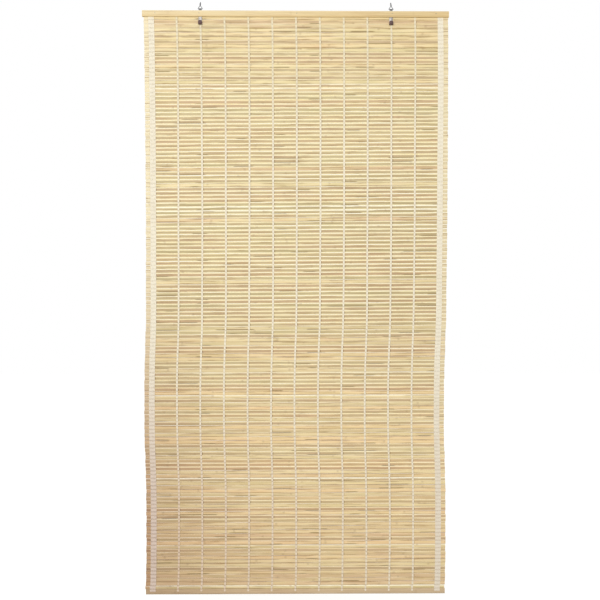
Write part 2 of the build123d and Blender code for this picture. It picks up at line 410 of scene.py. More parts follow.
class Weave(Graph):
    """A Geometry Nodes tree with named inputs, which ends as a plain mesh."""

    def __init__(self, name: str) -> None:
        """Make an empty tree that takes and gives a geometry.

        Args:
            name: name of the tree.
        """
        super().__init__(bpy.data.node_groups.new(name, "GeometryNodeTree"))
        self.sockets: dict[str, bpy.types.NodeTreeInterfaceSocket] = {}
        for way in ("INPUT", "OUTPUT"):
            self._socket("Geometry", way, "NodeSocketGeometry")
        self.entry = self.tree.nodes.new("NodeGroupInput")

    def _socket(self, name: str, way: str, kind: str) -> bpy.types.NodeTreeInterfaceSocket:
        """Add one socket to the tree's interface."""
        return self.tree.interface.new_socket(name=name, in_out=way, socket_type=kind)

    def given(self, name: str = "Geometry") -> Value:
        """The value of one of the tree's inputs."""
        return Value(self, Graph.pick(self.entry.outputs, name))

    def size(self, name: str, default: float, kind: str = "NodeSocketFloat") -> Value:
        """Add a named size to the tree's inputs.

        Args:
            name: name of the input.
            default: its value where a piece gives no other.
            kind: Blender's type name of the socket.

        Returns:
            The size.
        """
        self.sockets[name] = self._socket(name, "INPUT", kind)
        self.sockets[name].default_value = default
        return self.given(name)

    def number(self, name: str, default: int) -> Value:
        """Add a named whole number to the tree's inputs."""
        return self.size(name, default, "NodeSocketInt")

    def finish_input(self) -> Value:
        """Add the material to the tree's inputs."""
        self.sockets["Finish"] = self._socket("Finish", "INPUT", "NodeSocketMaterial")
        return self.given("Finish")

    def read(self, name: str) -> Value:
        """A number kept on the geometry."""
        settings = {"data_type": "FLOAT"}
        return self.node("GeometryNodeInputNamedAttribute", settings, {"Name": name}, "Attribute")

    def keep(self, geometry: Value, name: str, value: Value | float) -> Value:
        """Keep a number on the geometry's points.

        Args:
            geometry: the geometry.
            name: name of the number.
            value: the number at each point.

        Returns:
            The geometry with the number.
        """
        settings = {"data_type": "FLOAT", "domain": "POINT"}
        inputs = {"Geometry": geometry, "Name": name, "Value": value}
        return self.node("GeometryNodeStoreNamedAttribute", settings, inputs)

    def chance(self, low: float, high: float, seed: Value | int) -> Value:
        """A random number for each point."""
        inputs = {"Min": low, "Max": high, "Seed": seed}
        return self.node("FunctionNodeRandomValue", {"data_type": "FLOAT"}, inputs, "Value")

    def stray(self, place: Value, lot: Value, offset: float, detail: float) -> Value:
        """Noise about 0 along a place that is already scaled."""
        return self.noise(self.combine(place, lot, offset), detail) - 0.5

    def join(self, pieces: Sequence[Value]) -> Value:
        """One geometry from several.

        Args:
            pieces: the geometries in order.

        Returns:
            The geometry.
        """
        joined = self.node("GeometryNodeJoinGeometry")
        for piece in pieces:
            self.feed(joined.socket.node.inputs[0], piece)
        return joined

    def spread(self, points: Value, piece: Value) -> Value:
        """Copies of a piece on points, as one mesh."""
        copies = self.node("GeometryNodeInstanceOnPoints", None, {"Points": points, "Instance": piece})
        return self.node("GeometryNodeRealizeInstances", None, {"Geometry": copies})

    def move(self, geometry: Value, x: Value, y: Value, z: Value) -> Value:
        """Put every point at the given place."""
        inputs = {"Geometry": geometry, "Position": self.combine(x, y, z)}
        return self.node("GeometryNodeSetPosition", None, inputs)

    def close(self, geometry: Value) -> None:
        """End the tree: one mesh, shaded smooth, with its finish.

        Args:
            geometry: what the tree has made.
        """
        whole = self.node("GeometryNodeRealizeInstances", None, {"Geometry": geometry})
        smooth = self.node("GeometryNodeSetShadeSmooth", None, {"Geometry": whole})
        inputs = {"Geometry": smooth, "Material": self.finish_input()}
        dressed = self.node("GeometryNodeSetMaterial", None, inputs)
        self.node("NodeGroupOutput", None, {"Geometry": dressed})

    def weave(self, name: str, blank: bpy.types.Mesh, finish: bpy.types.Material,
              sizes: dict[str, float] | None = None) -> bpy.types.Object:
        """Run the tree on a blank and keep the result as a plain mesh.

        Args:
            name: name of the piece.
            blank: the mesh that the tree repeats.
            finish: material of the piece.
            sizes: named inputs that differ from their defaults.

        Returns:
            The finished object, at the origin and with no modifier.
        """
        piece = bpy.data.objects.new(name, blank)
        bpy.context.scene.collection.objects.link(piece)
        modifier = piece.modifiers.new("weave", "NODES")
        modifier.node_group = self.tree
        for key, value in {"Finish": finish, **(sizes or {})}.items():
            modifier[self.sockets[key].identifier] = value
        depsgraph = bpy.context.evaluated_depsgraph_get()
        mesh = bpy.data.meshes.new_from_object(
            piece.evaluated_get(depsgraph), preserve_all_data_layers=True, depsgraph=depsgraph)
        piece.modifiers.remove(modifier)
        piece.data = mesh
        mesh.name = name
        mesh.set_sharp_from_angle(angle=math.radians(SHARP_ANGLE))
        return piece


def skin(name: str, rings: Sequence[Sequence[Vector]]) -> bpy.types.Mesh:
    """Join rings of equally many points into a skin with a cap at both ends.

    Args:
        name: name of the mesh.
        rings: the rings in order.

    Returns:
        The mesh, with its faces outwards.
    """
    body = bmesh.new()
    rows = [[body.verts.new(point) for point in ring] for ring in rings]
    for one, two in zip(rows, rows[1:]):
        for at in range(len(one)):
            after = (at + 1) % len(one)
            body.faces.new((one[at], one[after], two[after], two[at]))
    body.faces.new(list(reversed(rows[0])))
    body.faces.new(rows[-1])
    bmesh.ops.recalc_face_normals(body, faces=body.faces)
    mesh = bpy.data.meshes.new(name)
    body.to_mesh(mesh)
    body.free()
    mesh.shade_smooth()
    mesh.set_sharp_from_angle(angle=math.radians(SHARP_ANGLE))
    return mesh


def keep_number(mesh: bpy.types.Mesh, name: str, number: Callable[[Vector], float]) -> None:
    """Keep a number on each point of a mesh, worked out from its place."""
    attribute = mesh.attributes.new(name, "FLOAT", "POINT")
    attribute.data.foreach_set("value", [number(vertex.co) for vertex in mesh.vertices])


def piece_from(mesh: bpy.types.Mesh, finish: bpy.types.Material) -> bpy.types.Object:
    """Make an object at the origin for a finished mesh.

    Args:
        mesh: the mesh, whose name the object gets.
        finish: its material.

    Returns:
        The object.
    """
    mesh.materials.clear()
    mesh.materials.append(finish)
    piece = bpy.data.objects.new(mesh.name, mesh)
    bpy.context.scene.collection.objects.link(piece)
    return piece


def seat(piece: bpy.types.Object, body: Body, slot: str, node: str) -> None:
    """Let a piece ride on a body, in place of a CAD node.

    Args:
        piece: the finished piece.
        body: the body that carries it.
        slot: the record's material slot; it is not used.
        node: the CAD node that it stands for.
    """
    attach(piece, body.value)
    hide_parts(node)
    log.info("%s: %d faces on %s", piece.name, len(piece.data.polygons), body.value)


@dataclass(frozen=True)
class Grain:
    """A noise over a strip: its rates along and across, its own offset, its detail and roughness."""

    along: float
    across: float
    offset: float = 0.0
    detail: float = 2.0
    roughness: float = 0.5

    def over(self, s: Surface, along: Value, across: Value, lot: Value) -> Value:
        """The noise on a strip that has its own lot."""
        place = s.combine(along * self.along, across * self.across, lot + self.offset)
        return s.noise(place, self.detail, self.roughness)


@dataclass(frozen=True)
class Spot:
    """Where a shader stands on a bamboo strip: along it, at a height, across it, and the strip's seed."""

    x: Value
    z: Value
    across: Value
    seed: Value

    @classmethod
    def on(cls, s: Surface) -> "Spot":
        """Read the spot from the object coordinates and from what the strip carries."""
        x, _, z = s.place()
        return cls(x, z, s.attribute("across"), s.attribute("strip_seed"))


@dataclass(frozen=True)
class Bamboo:
    """Split bamboo: fibres along X, patches, growth nodes and brown stains along the edges.

    Each strip carries a random strip_seed and its own across, from -0.5 to 0.5.
    """

    name: str
    tones: Stops
    strip_share: float = 0.75
    lot_step: float = 613.0

    patch_share: float = 0.8
    wide_patches: Grain = Grain(6.0, 0.5)
    wide_gain: float = 2.0
    close_patches: Grain = Grain(14.0, 1.4, 40.0, 1.0)
    fibre_rate: float = 7.0
    fibres_across: float = 22.0
    fibre_roughness: float = 0.6
    streaks: Stops = ((0.3, (0.80, 0.76, 0.70)), (0.5, WHITE), (0.7, (1.06, 1.07, 1.08)))

    node_mark: Colour = (0.40, 0.27, 0.15)
    node_share: float = 0.32
    node_spacing: float = 0.36
    node_step: float = 37.0
    node_span: Span = (5.0 * MM, 1.6 * MM)
    node_fray: float = 6.0 * MM
    lean_span: Span = (0.45, 0.15)
    lean_fray: float = 0.5

    stain: Colour = (0.34, 0.21, 0.10)
    stain_share: float = 0.75
    stain_span: Span = (0.5, 0.62)
    stain_spots: Grain = Grain(11.0, 1.6, 91.0, 2.0, 0.6)
    stain_off_line: float = 0.06
    line_inner: Span = (0.1, 0.24)
    line_outer: Span = (0.38, 0.28)

    low_tint: Colour = (0.765, 0.72, 0.72)
    low_span: Span = (-0.5, -1.6)
    low_shares: Shares = ()
    half_length: float = 0.45
    calm_share: float = 0.35

    roughness: float = 0.5
    fibre_rough: float = 0.3
    stain_rough: float = 0.15
    fibre_relief: float = 0.6
    node_relief: float = 0.5
    stain_relief: float = 0.15
    bump_depth: float = 0.25 * MM
    bump_strength: float = 0.5
    gloss: float = 0.3

    def calm(self, at: Spot) -> Value:
        """A factor that makes patches and stains weaker from the middle of the drop downwards."""
        return 1 - at.z.rise(*self.low_span) * self.calm_share

    def grain(self, s: Surface, at: Spot) -> tuple[Value, Value]:
        """The strip's own tone with patches and fibre streaks.

        Args:
            s: the material's tree.
            at: the spot on the strip.

        Returns:
            The colour and the fibres.
        """
        lot = at.seed * self.lot_step
        wide = self.wide_patches.over(s, at.x, at.across, lot)
        close = self.close_patches.over(s, at.x, at.across, lot)
        fibres = Grain(self.fibre_rate, self.fibres_across, roughness=self.fibre_roughness)
        fibre = fibres.over(s, at.x, at.across, lot)
        patch = ((wide - 0.5) * self.wide_gain + close - 0.5) * self.patch_share * self.calm(at)
        tone = 0.5 + (at.seed - 0.5) * self.strip_share + patch
        return s.tint(1.0, s.ramp(tone, self.tones), s.ramp(fibre, self.streaks)), fibre

    def marks(self, s: Surface, at: Spot, fibre: Value) -> tuple[Value, Value]:
        """Where growth nodes and brown stains show.

        Args:
            s: the material's tree.
            at: the spot on the strip.
            fibre: the fibre streaks, which fray the marks.

        Returns:
            The nodes and the stains, each from 0 to 1.
        """
        cell = at.x / self.node_spacing + at.seed * self.node_step
        off = abs(cell.fraction() - 0.5) * self.node_spacing + (fibre - 0.5) * self.node_fray
        lean = abs(at.across + at.seed - 0.5 + (fibre - 0.5) * self.lean_fray)
        node = off.rise(*self.node_span) * lean.rise(*self.lean_span) * self.node_share
        spots = self.stain_spots.over(s, at.x, at.across, at.seed * self.lot_step)
        line = abs(at.across).rise(*self.line_inner) * abs(at.across).rise(*self.line_outer)
        stain = spots.rise(*self.stain_span) * (self.stain_off_line + (1 - self.stain_off_line) * line)
        return node, stain * self.stain_share * self.calm(at)

    def tints_and_painted_light(self, s: Surface, at: Spot, colour: Value) -> Value:
        """Room for a kind of strip to add tints and painted light and shade to its colour; a plain strip adds
        nothing.
        """
        return colour

    def material(self) -> bpy.types.Material:
        """Build the finish.

        Returns:
            The material.
        """
        s = Surface(self.name)
        at = Spot.on(s)
        colour, fibre = self.grain(s, at)
        node, stain = self.marks(s, at, fibre)
        colour = self.tints_and_painted_light(s, at, colour)
        colour = s.mix(node, colour, self.node_mark)
        colour = s.mix(stain, colour, self.stain)
        if self.low_shares:
            along = at.x / (2.0 * self.half_length) + 0.5
            low = s.curve(along, self.low_shares) * at.z.rise(*self.low_span)
            colour = s.tint(low, colour, self.low_tint)
        rough = self.roughness + (fibre - 0.5) * self.fibre_rough + stain * self.stain_rough
        height = fibre * self.fibre_relief + node * self.node_relief - stain * self.stain_relief
        bump = s.bump(height, self.bump_depth, self.bump_strength)
        return s.dress(Base_Color=colour, Roughness=rough, Normal=bump, Specular_IOR_Level=self.gloss)


@dataclass(frozen=True)
class PlanedBamboo(Bamboo):
    """Strips of the rail and the batten: a painted highlight along the upper edge, painted shade along the
    lower edge, and a tone of their own towards the right end.
    """

    # Painted highlight along the strip's upper edge.
    upper: Colour = (0.88, 0.76, 0.50)
    upper_span: Span = (0.22, 0.42)
    upper_share: float = 0.4
    # Painted shade along the strip's lower edge.
    lower: Colour = (0.96, 0.92, 0.84)
    lower_span: Span = (-0.12, -0.36)
    right: Colour = (0.90, 0.84, 0.74)

    def tints_and_painted_light(self, s: Surface, at: Spot, colour: Value) -> Value:
        """Tint the strip towards the right end, and paint a highlight along its upper edge and shade along
        its lower edge.

        Args:
            s: the material's tree.
            at: the spot on the strip.
            colour: the colour so far.

        Returns:
            The colour with the shading.
        """
        colour = s.tint(at.x.rise(-self.half_length, self.half_length), colour, self.right)
        # Painted highlight along the upper edge, then painted shade along the lower edge.
        colour = s.mix(at.across.rise(*self.upper_span) * self.upper_share, colour, self.upper)
        return s.tint(at.across.rise(*self.lower_span), colour, self.lower)


@dataclass(frozen=True)
class SlatSpot(Spot):
    """Where a shader stands on a slat: also along the rail, how low, how frayed, and how open the seam is."""

    along: Value
    low: Value
    fray: Value
    seam: Value
    opened: Value


@dataclass(frozen=True)
class SplitBamboo(Bamboo):
    """Slats of the mat: pale split edges with painted light where the seams are open, painted shade along the
    edges where they are shut.

    Each slat also carries seam_open, and the way to the nearest thread from rail_place and thread_drift.
    """

    fray: Grain = Grain(10.0, 1.2)
    fray_step: float = 277.0
    open_gain: float = 1.2
    open_play: float = 0.7
    open_span: Span = (0.2, 0.5)

    blush: Colour = (1.06, 0.955, 0.925)
    blush_step: float = 7.13
    blush_fray: float = 0.6
    blush_span: Span = (0.45, 0.85)
    blush_top: float = 0.4
    blush_low: float = 0.35
    blush_end: Span = (-1.56, -1.68)
    blush_end_share: float = 0.8
    # Painted shade over the right side of the middle of the drop.
    side_shade: Colour = (0.945, 0.925, 0.925)
    side_along: Span = (-0.05, 0.35)
    side_start: Span = (-0.4, -0.65)
    side_end: Span = (-1.25, -1.0)
    foot_tint: Colour = (0.965, 0.95, 0.95)
    foot_span: Span = (-1.38, -1.6)

    # Darker slat middles between open seams: partly the darker skin, partly painted shade.
    skin_and_shade_tint: Colour = (0.68, 0.67, 0.67)
    skin_share: float = 0.85
    skin_open: float = 0.15
    rim_fray: float = 0.05
    rim_span: Span = (0.24, 0.38)
    # Pale edges beside open seams: partly the paler split edges, partly painted light beside the gaps.
    pale_and_lit_edge: Colour = (1.0, 0.89, 0.51)
    pale_share: float = 0.48
    pale_open: float = 0.34
    # Painted shade along the slat edges where the seams are shut.
    shut_seam_shade: Colour = (0.54, 0.44, 0.34)
    shut_fray: float = 0.2
    shut_span: Span = (0.28, 0.46)
    shut_least: float = 0.2
    shut_patches: Span = (0.38, 0.62)
    # Painted light along the upper edge of a few slats.
    highlight_edge: Colour = (1.0, 0.93, 0.68)
    bright_step: float = 23.7
    bright_chance: Span = (0.945, 0.965)
    bright_span: Span = (0.16, 0.3)

    # Painted shadow strokes in the seam under some slats.
    shadow_stroke: Colour = (0.30, 0.21, 0.085)
    stroke_rate: float = 9.0
    stroke_step: float = 191.0
    stroke_offset: float = 3.0
    stroke_chance: Span = (0.67, 0.72)
    stroke_inner: Span = (-0.16, -0.24)
    stroke_outer: Span = (-0.49, -0.4)
    stroke_share: float = 0.8

    end_tone: Colour = (0.86, 0.75, 0.50)
    end_tint: Colour = (0.84, 0.73, 0.72)
    end_span: Span = (432.0 * MM, 436.0 * MM)
    end_share: float = 0.62
    end_left: float = 0.3
    left_span: Span = (0.1, -0.1)

    # Painted shadow on the slats beside the threads.
    thread_shadow: Colour = (0.46, 0.38, 0.32)
    thread_spacing: float = 70.0 * MM
    shadow_shift: float = 1.3 * MM
    shadow_span: Span = (4.2 * MM, 2.8 * MM)
    shadow_across: Span = (0.44, 0.24)
    shadow_rate: float = 3.1
    shadow_step: float = 97.0
    shadow_offset: float = 5.0
    shadow_chance: Span = (0.36, 0.56)
    shadow_share: float = 0.35
    shadow_open: float = 0.4

    def spot(self, s: Surface, at: Spot) -> SlatSpot:
        """Read what a slat carries besides a plain strip.

        Args:
            s: the material's tree.
            at: the spot on the strip.

        Returns:
            The spot on the slat.
        """
        along = s.attribute("rail_place")
        seam = s.attribute("seam_open")
        opened = (seam * self.open_gain + (at.seed - 0.5) * self.open_play).rise(*self.open_span)
        fray = self.fray.over(s, along, at.across, at.seed * self.fray_step)
        low = at.z.rise(*self.low_span)
        return SlatSpot(at.x, at.z, at.across, at.seed, along, low, fray, seam, opened)

    def warmed_and_side_shaded(self, s: Surface, at: SlatSpot, colour: Value) -> Value:
        """Add a blush to some slats, painted shade at the right side, and a tint at the foot of the mat.

        Args:
            s: the material's tree.
            at: the spot on the slat.
            colour: the colour so far.

        Returns:
            The warmer colour with the painted shade.
        """
        warm = (at.seed * self.blush_step).fraction() + (at.fray - 0.5) * self.blush_fray
        warm = warm.rise(*self.blush_span)
        blush = warm * (self.blush_top + at.low * self.blush_low) + at.low * self.blush_low
        blush = blush * (1 - at.z.rise(*self.blush_end) * self.blush_end_share)
        # Painted shade over the right side of the middle of the drop.
        side = at.x.rise(*self.side_along) * at.z.rise(*self.side_start) * at.z.rise(*self.side_end)
        colour = s.tint(blush, colour, self.blush)
        colour = s.tint(side, colour, self.side_shade)
        return s.tint(at.z.rise(*self.foot_span), colour, self.foot_tint)

    def edged(self, s: Surface, at: SlatSpot, colour: Value) -> Value:
        """Add the darker skin with painted shade, the pale edges with painted light, the painted shade along
        shut edges, the painted light on some upper edges, and the painted shadow strokes along some seams.

        Args:
            s: the material's tree.
            at: the spot on the slat.
            colour: the colour so far.

        Returns:
            The colour with its edges.
        """
        rim = (abs(at.across) + (at.fray - 0.5) * self.rim_fray).rise(*self.rim_span)
        # Painted shade, together with the darker skin, over the slat middles between open seams.
        skin_and_shade = (1 - rim) * at.opened * (self.skin_share + at.seam * self.skin_open)
        colour = s.tint(skin_and_shade, colour, self.skin_and_shade_tint)
        # Pale split edges with painted light beside the open seams.
        colour = s.mix(rim * at.opened * (self.pale_share + at.seam * self.pale_open), colour, self.pale_and_lit_edge)
        # Painted shade along the edges of shut seams, in patches.
        shut = (abs(at.across) + (at.fray - 0.5) * self.shut_fray).rise(*self.shut_span) * (1 - at.opened)
        patches = self.shut_least + at.fray.rise(*self.shut_patches) * (1 - self.shut_least)
        colour = s.tint(shut * patches, colour, self.shut_seam_shade)
        # Painted light along the upper edge of a few slats.
        bright = (at.seed * self.bright_step).fraction().rise(*self.bright_chance)
        colour = s.mix(bright * at.across.rise(*self.bright_span), colour, self.highlight_edge)
        # Painted shadow strokes along the lower edge of some slats.
        lot = s.combine(at.along * self.stroke_rate, at.seed * self.stroke_step, self.stroke_offset)
        stroke_spots = s.noise(lot, detail=0.0).rise(*self.stroke_chance)
        shadow_stroke = at.across.rise(*self.stroke_inner) * at.across.rise(*self.stroke_outer) * self.stroke_share
        return s.mix(stroke_spots * shadow_stroke, colour, self.shadow_stroke)

    def ended(self, s: Surface, at: SlatSpot, colour: Value) -> Value:
        """Make the slats' ends outside the tapes plainer, most of all at the upper left.

        Args:
            s: the material's tree.
            at: the spot on the slat.
            colour: the colour so far.

        Returns:
            The colour with calm ends.
        """
        ends = abs(at.along).rise(*self.end_span)
        left = at.x.rise(*self.left_span)
        share = ends * (1 - at.low * at.low) * (self.end_share + left * self.end_left)
        return s.tint(ends * at.low * left, s.mix(share, colour, self.end_tone), self.end_tint)

    def thread_shadowed(self, s: Surface, at: SlatSpot, colour: Value) -> Value:
        """Paint shadow beside some stitches of the threads.

        Args:
            s: the material's tree.
            at: the spot on the slat.
            colour: the colour so far.

        Returns:
            The colour with the painted shadow.
        """
        # Painted shadow beside the stitches, where a thread stands off the slat.
        cell = (at.along - s.attribute("thread_drift")) / self.thread_spacing + 0.5
        off = abs((cell.fraction() - 0.5) * self.thread_spacing - self.shadow_shift)
        lot = s.combine(cell.whole() * self.shadow_rate, at.seed * self.shadow_step, self.shadow_offset)
        some = s.noise(lot, detail=0.0).rise(*self.shadow_chance)
        some = some * (self.shadow_share + at.opened * self.shadow_open)
        beside = off.rise(*self.shadow_span) * abs(at.across).rise(*self.shadow_across)
        return s.tint(beside * some, colour, self.thread_shadow)

    def tints_and_painted_light(self, s: Surface, at: Spot, colour: Value) -> Value:
        """Add the tints and painted side shade, the edges with their painted light and shade, the painted
        shadow strokes, the calm ends and the painted shadow beside the threads.

        Args:
            s: the material's tree.
            at: the spot on the strip.
            colour: the colour so far.

        Returns:
            The colour with these added.
        """
        spot = self.spot(s, at)
        for step in (self.warmed_and_side_shaded, self.edged, self.ended, self.thread_shadowed):
            colour = step(s, spot, colour)
        return colour


@dataclass(frozen=True)
class Cotton:
    """Undyed cotton yarn: cream, with slubs, loose fibres and a twist, and painted shade where it dips
    between the slats.
    """

    name: str
    deep: Colour = (0.765, 0.67, 0.50)
    deep_from: float = 0.15
    pale: Colour = (0.885, 0.82, 0.66)
    pale_from: float = 0.6
    low_tint: Colour = (0.84, 0.71, 0.68)
    low_span: Span = (-0.85, -1.55)
    low_share: float = 0.68
    low_slant: float = 0.74
    top_tint: Colour = (0.93, 0.91, 0.84)
    top_span: Span = (-0.45, -0.15)
    tape_tone: Colour = (1.01, 1.015, 1.025)
    tape_low_tint: Colour = (0.80, 0.71, 0.75)
    # Painted shade where the yarn dips between two slats.
    dip_shade: Colour = (0.66, 0.58, 0.52)
    dip_span: Span = (0.22, 0.48)
    dip_share: float = 0.2
    dip_tape: float = 0.12
    dip_low: float = 0.4
    twist_pitch: float = 2.4 * MM
    twist_lean: float = 1.4
    slub_rates: Triple = (60.0, 60.0, 18.0)
    fuzz_rates: Triple = (2600.0, 2600.0, 900.0)
    fuzz_detail: float = 3.0
    fuzz_roughness: float = 0.65
    ply_shade: float = 0.3
    slub_shade: float = 0.45
    fuzz_shade: float = 0.25
    roughness: float = 0.82
    fuzz_rough: float = 0.2
    ply_relief: float = 0.6
    fuzz_relief: float = 0.4
    bump_depth: float = 0.12 * MM
    bump_strength: float = 0.6
    gloss: float = 0.2
    sheen: float = 0.25

    def material(self) -> bpy.types.Material:
        """Build the finish.

        Returns:
            The material.
        """
        s = Surface(self.name)
        x, y, z = s.place()
        turn = ((z + x * self.twist_lean + y) / self.twist_pitch) * (2.0 * math.pi)
        ply = turn.sine() * 0.5 + 0.5
        slub = s.speckle(self.slub_rates)
        fuzz = s.speckle(self.fuzz_rates, self.fuzz_detail, self.fuzz_roughness)
        shade = ply * self.ply_shade + slub * self.slub_shade + fuzz * self.fuzz_shade
        colour = s.ramp(shade, ((self.deep_from, self.deep), (self.pale_from, self.pale)))
        tape = s.attribute("tape")
        low = z.rise(*self.low_span) * (self.low_share - x * self.low_slant)
        colour = s.tint(low * low * (1 - tape), colour, self.low_tint)
        colour = s.tint(z.rise(*self.top_span) * (1 - tape), colour, self.top_tint)
        colour = s.tint(tape, colour, self.tape_tone)
        colour = s.tint(low * tape, colour, self.tape_low_tint)
        # Painted shade on the yarn where it dips between the slats.
        dip = abs(s.attribute("stitch")).rise(*self.dip_span)
        dip = dip * (self.dip_share - tape * self.dip_tape + low * self.dip_low)
        colour = s.tint(dip, colour, self.dip_shade)
        height = ply * self.ply_relief + fuzz * self.fuzz_relief
        return s.dress(Base_Color=colour, Roughness=self.roughness + (fuzz - 0.5) * self.fuzz_rough,
                       Normal=s.bump(height, self.bump_depth, self.bump_strength),
                       Specular_IOR_Level=self.gloss, Sheen_Weight=self.sheen)


@dataclass(frozen=True)
class Metal:
    """Plain metal with drawn or rolled lines, a little tarnish, and a dark upper end where it is rubbed."""

    name: str
    bright: Colour
    dull: Colour
    tarnish_span: Span = (0.42, 0.72)
    rubbed: Colour = (0.10, 0.10, 0.10)
    rubbed_from: float = 1.0
    rubbed_run: float = 2.0 * MM
    line_rates: Triple = (400.0, 400.0, 4000.0)
    spot_rates: Triple = (340.0, 340.0, 340.0)
    spot_detail: float = 4.0
    spot_roughness: float = 0.6
    roughness: float = 0.38
    line_rough: float = 0.2
    tarnish_rough: float = 0.18
    line_relief: float = 0.6
    spot_relief: float = 0.4
    bump_depth: float = 0.03 * MM
    bump_strength: float = 0.4

    def material(self) -> bpy.types.Material:
        """Build the finish.

        Returns:
            The material.
        """
        s = Surface(self.name)
        _, _, z = s.place()
        line = s.speckle(self.line_rates)
        spot = s.speckle(self.spot_rates, self.spot_detail, self.spot_roughness)
        tarnish = spot.rise(*self.tarnish_span)
        colour = s.mix(tarnish, self.bright, self.dull)
        colour = s.mix(z.rise(self.rubbed_from, self.rubbed_from + self.rubbed_run), colour, self.rubbed)
        rough = self.roughness + (line - 0.5) * self.line_rough + tarnish * self.tarnish_rough
        height = line * self.line_relief + spot * self.spot_relief
        return s.dress(Base_Color=colour, Metallic=1.0, Roughness=rough,
                       Normal=s.bump(height, self.bump_depth, self.bump_strength))


@dataclass(frozen=True)
class Vinyl:
    """Dipped vinyl: dark brown, smooth, with faint runs and dust."""

    name: str
    deep: Colour = (0.092, 0.050, 0.047)
    worn: Colour = (0.15, 0.088, 0.082)
    worn_span: Span = (0.4, 0.75)
    worn_share: float = 0.6
    dust_share: float = 0.15
    run_rates: Triple = (420.0, 420.0, 120.0)
    dust_rates: Triple = (1500.0, 1500.0, 1500.0)
    dust_detail: float = 3.0
    dust_roughness: float = 0.6
    dust_span: Span = (0.5, 0.8)
    roughness: float = 0.42
    run_rough: float = 0.15
    dust_rough: float = 0.25
    run_relief: float = 0.8
    dust_relief: float = 0.2
    bump_depth: float = 0.1 * MM
    bump_strength: float = 0.4
    gloss: float = 0.3

    def material(self) -> bpy.types.Material:
        """Build the finish.

        Returns:
            The material.
        """
        s = Surface(self.name)
        run = s.speckle(self.run_rates)
        dust = s.speckle(self.dust_rates, self.dust_detail, self.dust_roughness)
        worn = run.rise(*self.worn_span) * self.worn_share + dust * self.dust_share
        rough = self.roughness + run * self.run_rough + dust.rise(*self.dust_span) * self.dust_rough
        height = run * self.run_relief + dust * self.dust_relief
        return s.dress(Base_Color=s.mix(worn, self.deep, self.worn), Roughness=rough,
                       Normal=s.bump(height, self.bump_depth, self.bump_strength),
                       Specular_IOR_Level=self.gloss)


class Draw(Enum):
    """What a slat's random number is for, as the step from the mat's seed."""

    TONE = 1
    SHUT = 2
    GAP = 3


@dataclass(frozen=True)
class Lay:
    """How the slats lie one below the other, for the mat and for the yarns that cross it."""

    count: int = 150
    seed: int = 11
    pitch_spread: float = 0.03
    pitch_slope: float = 0.045
    widest_gap: float = 0.85 * MM
    least_gap: float = 0.1 * MM
    gap_pitch: float = 0.02
    gap_play: Span = (0.7, 1.2)
    shut_span: Span = (0.0, 0.12)
    gap_shares: Shares = (
        (0.0, 0.1), (0.04, 0.28), (0.1, 0.5), (0.16, 0.75), (0.24, 0.95), (0.35, 1.0), (0.47, 0.72),
        (0.57, 0.48), (0.66, 0.4), (0.78, 0.36), (0.9, 0.24), (1.0, 0.06))
    sway: float = 3.6 * MM
    sway_shares: Shares = ((0.0, 0.55), (0.24, 1.0), (0.5, 0.84), (0.68, 0.02), (0.86, 0.74), (1.0, 0.34))
    waist_share: float = 0.0045
    slope: float = 0.0088
    slope_shares: Shares = (
        (0.0, 0.0), (0.06, 0.41), (0.15, 0.72), (0.24, 0.95), (0.34, 1.0), (0.45, 0.81), (0.55, 0.7),
        (0.65, 0.25), (0.78, 0.15), (0.87, 0.2), (1.0, 0.0))
    wander: float = 1.6 * MM
    wander_rate: float = 2.2
    wander_detail: float = 2.0
    thread_lot: float = 7.3
    thread_spacing: float = 70.0 * MM

    def rows(self, tree: Weave, top: float, bottom: float) -> Value:
        """Points for the slats, with each slat's middle, width and pitch.

        Args:
            tree: the tree that gets the nodes.
            top: height of the mat's upper edge.
            bottom: height of its lower edge.

        Returns:
            The points; their numbers are row_middle, row_width, row_pitch, row_share, seam_open
            and strip_seed.
        """
        number = tree.number("Slat Count", self.count)
        upper = tree.size("Mat Top", top)
        length = tree.size("Mat Length", top - bottom)
        seed = tree.number("Seed", self.seed)
        gap = tree.size("Widest Gap", self.widest_gap)

        points = tree.node("GeometryNodePoints", None, {"Count": number})
        share = tree.node("GeometryNodeInputIndex") / (number - 1)
        odd = tree.chance(-self.pitch_spread, self.pitch_spread, seed)
        shut = tree.chance(0.0, 1.0, seed + Draw.SHUT.value).rise(*self.shut_span)
        space = shut * tree.chance(*self.gap_play, seed + Draw.GAP.value) * tree.curve(share, self.gap_shares)
        pitch = (length / number) * (1 + odd + (0.5 - share) * self.pitch_slope + space * self.gap_pitch)
        run = tree.node("GeometryNodeAccumulateField", {"data_type": "FLOAT", "domain": "POINT"},
                        {"Value": pitch}, "Trailing")
        fit = length / run.other("Total")
        points = tree.keep(points, "row_middle", upper - (run + pitch * 0.5) * fit)
        points = tree.keep(points, "row_width", pitch * fit - space * gap - self.least_gap)
        points = tree.keep(points, "row_pitch", pitch * fit)
        points = tree.keep(points, "row_share", share)
        points = tree.keep(points, "seam_open", space.least(1.0))
        return tree.keep(points, "strip_seed", tree.chance(0.0, 1.0, seed + Draw.TONE.value))

    def level(self, tree: Weave, x: Value, share: Value) -> Value:
        """How much higher a slat lies at a place along the rail, a share of the way down the mat."""
        return x * tree.curve(share, self.slope_shares) * self.slope

    def drift(self, tree: Weave, height: Value, lot: Value) -> Value:
        """How far a thread with its own lot strays along the rail at a height."""
        return tree.stray(height * self.wander_rate, lot, 0.0, self.wander_detail) * (2.0 * self.wander)

    def hang(self, tree: Weave, x: Value, share: Value) -> Value:
        """Where a place along the rail comes to lie, a share of the way down the mat."""
        waist = 1 - (share * math.pi).sine() * self.waist_share
        return x * waist + (tree.curve(share, self.sway_shares) - 0.5) * (2.0 * self.sway)


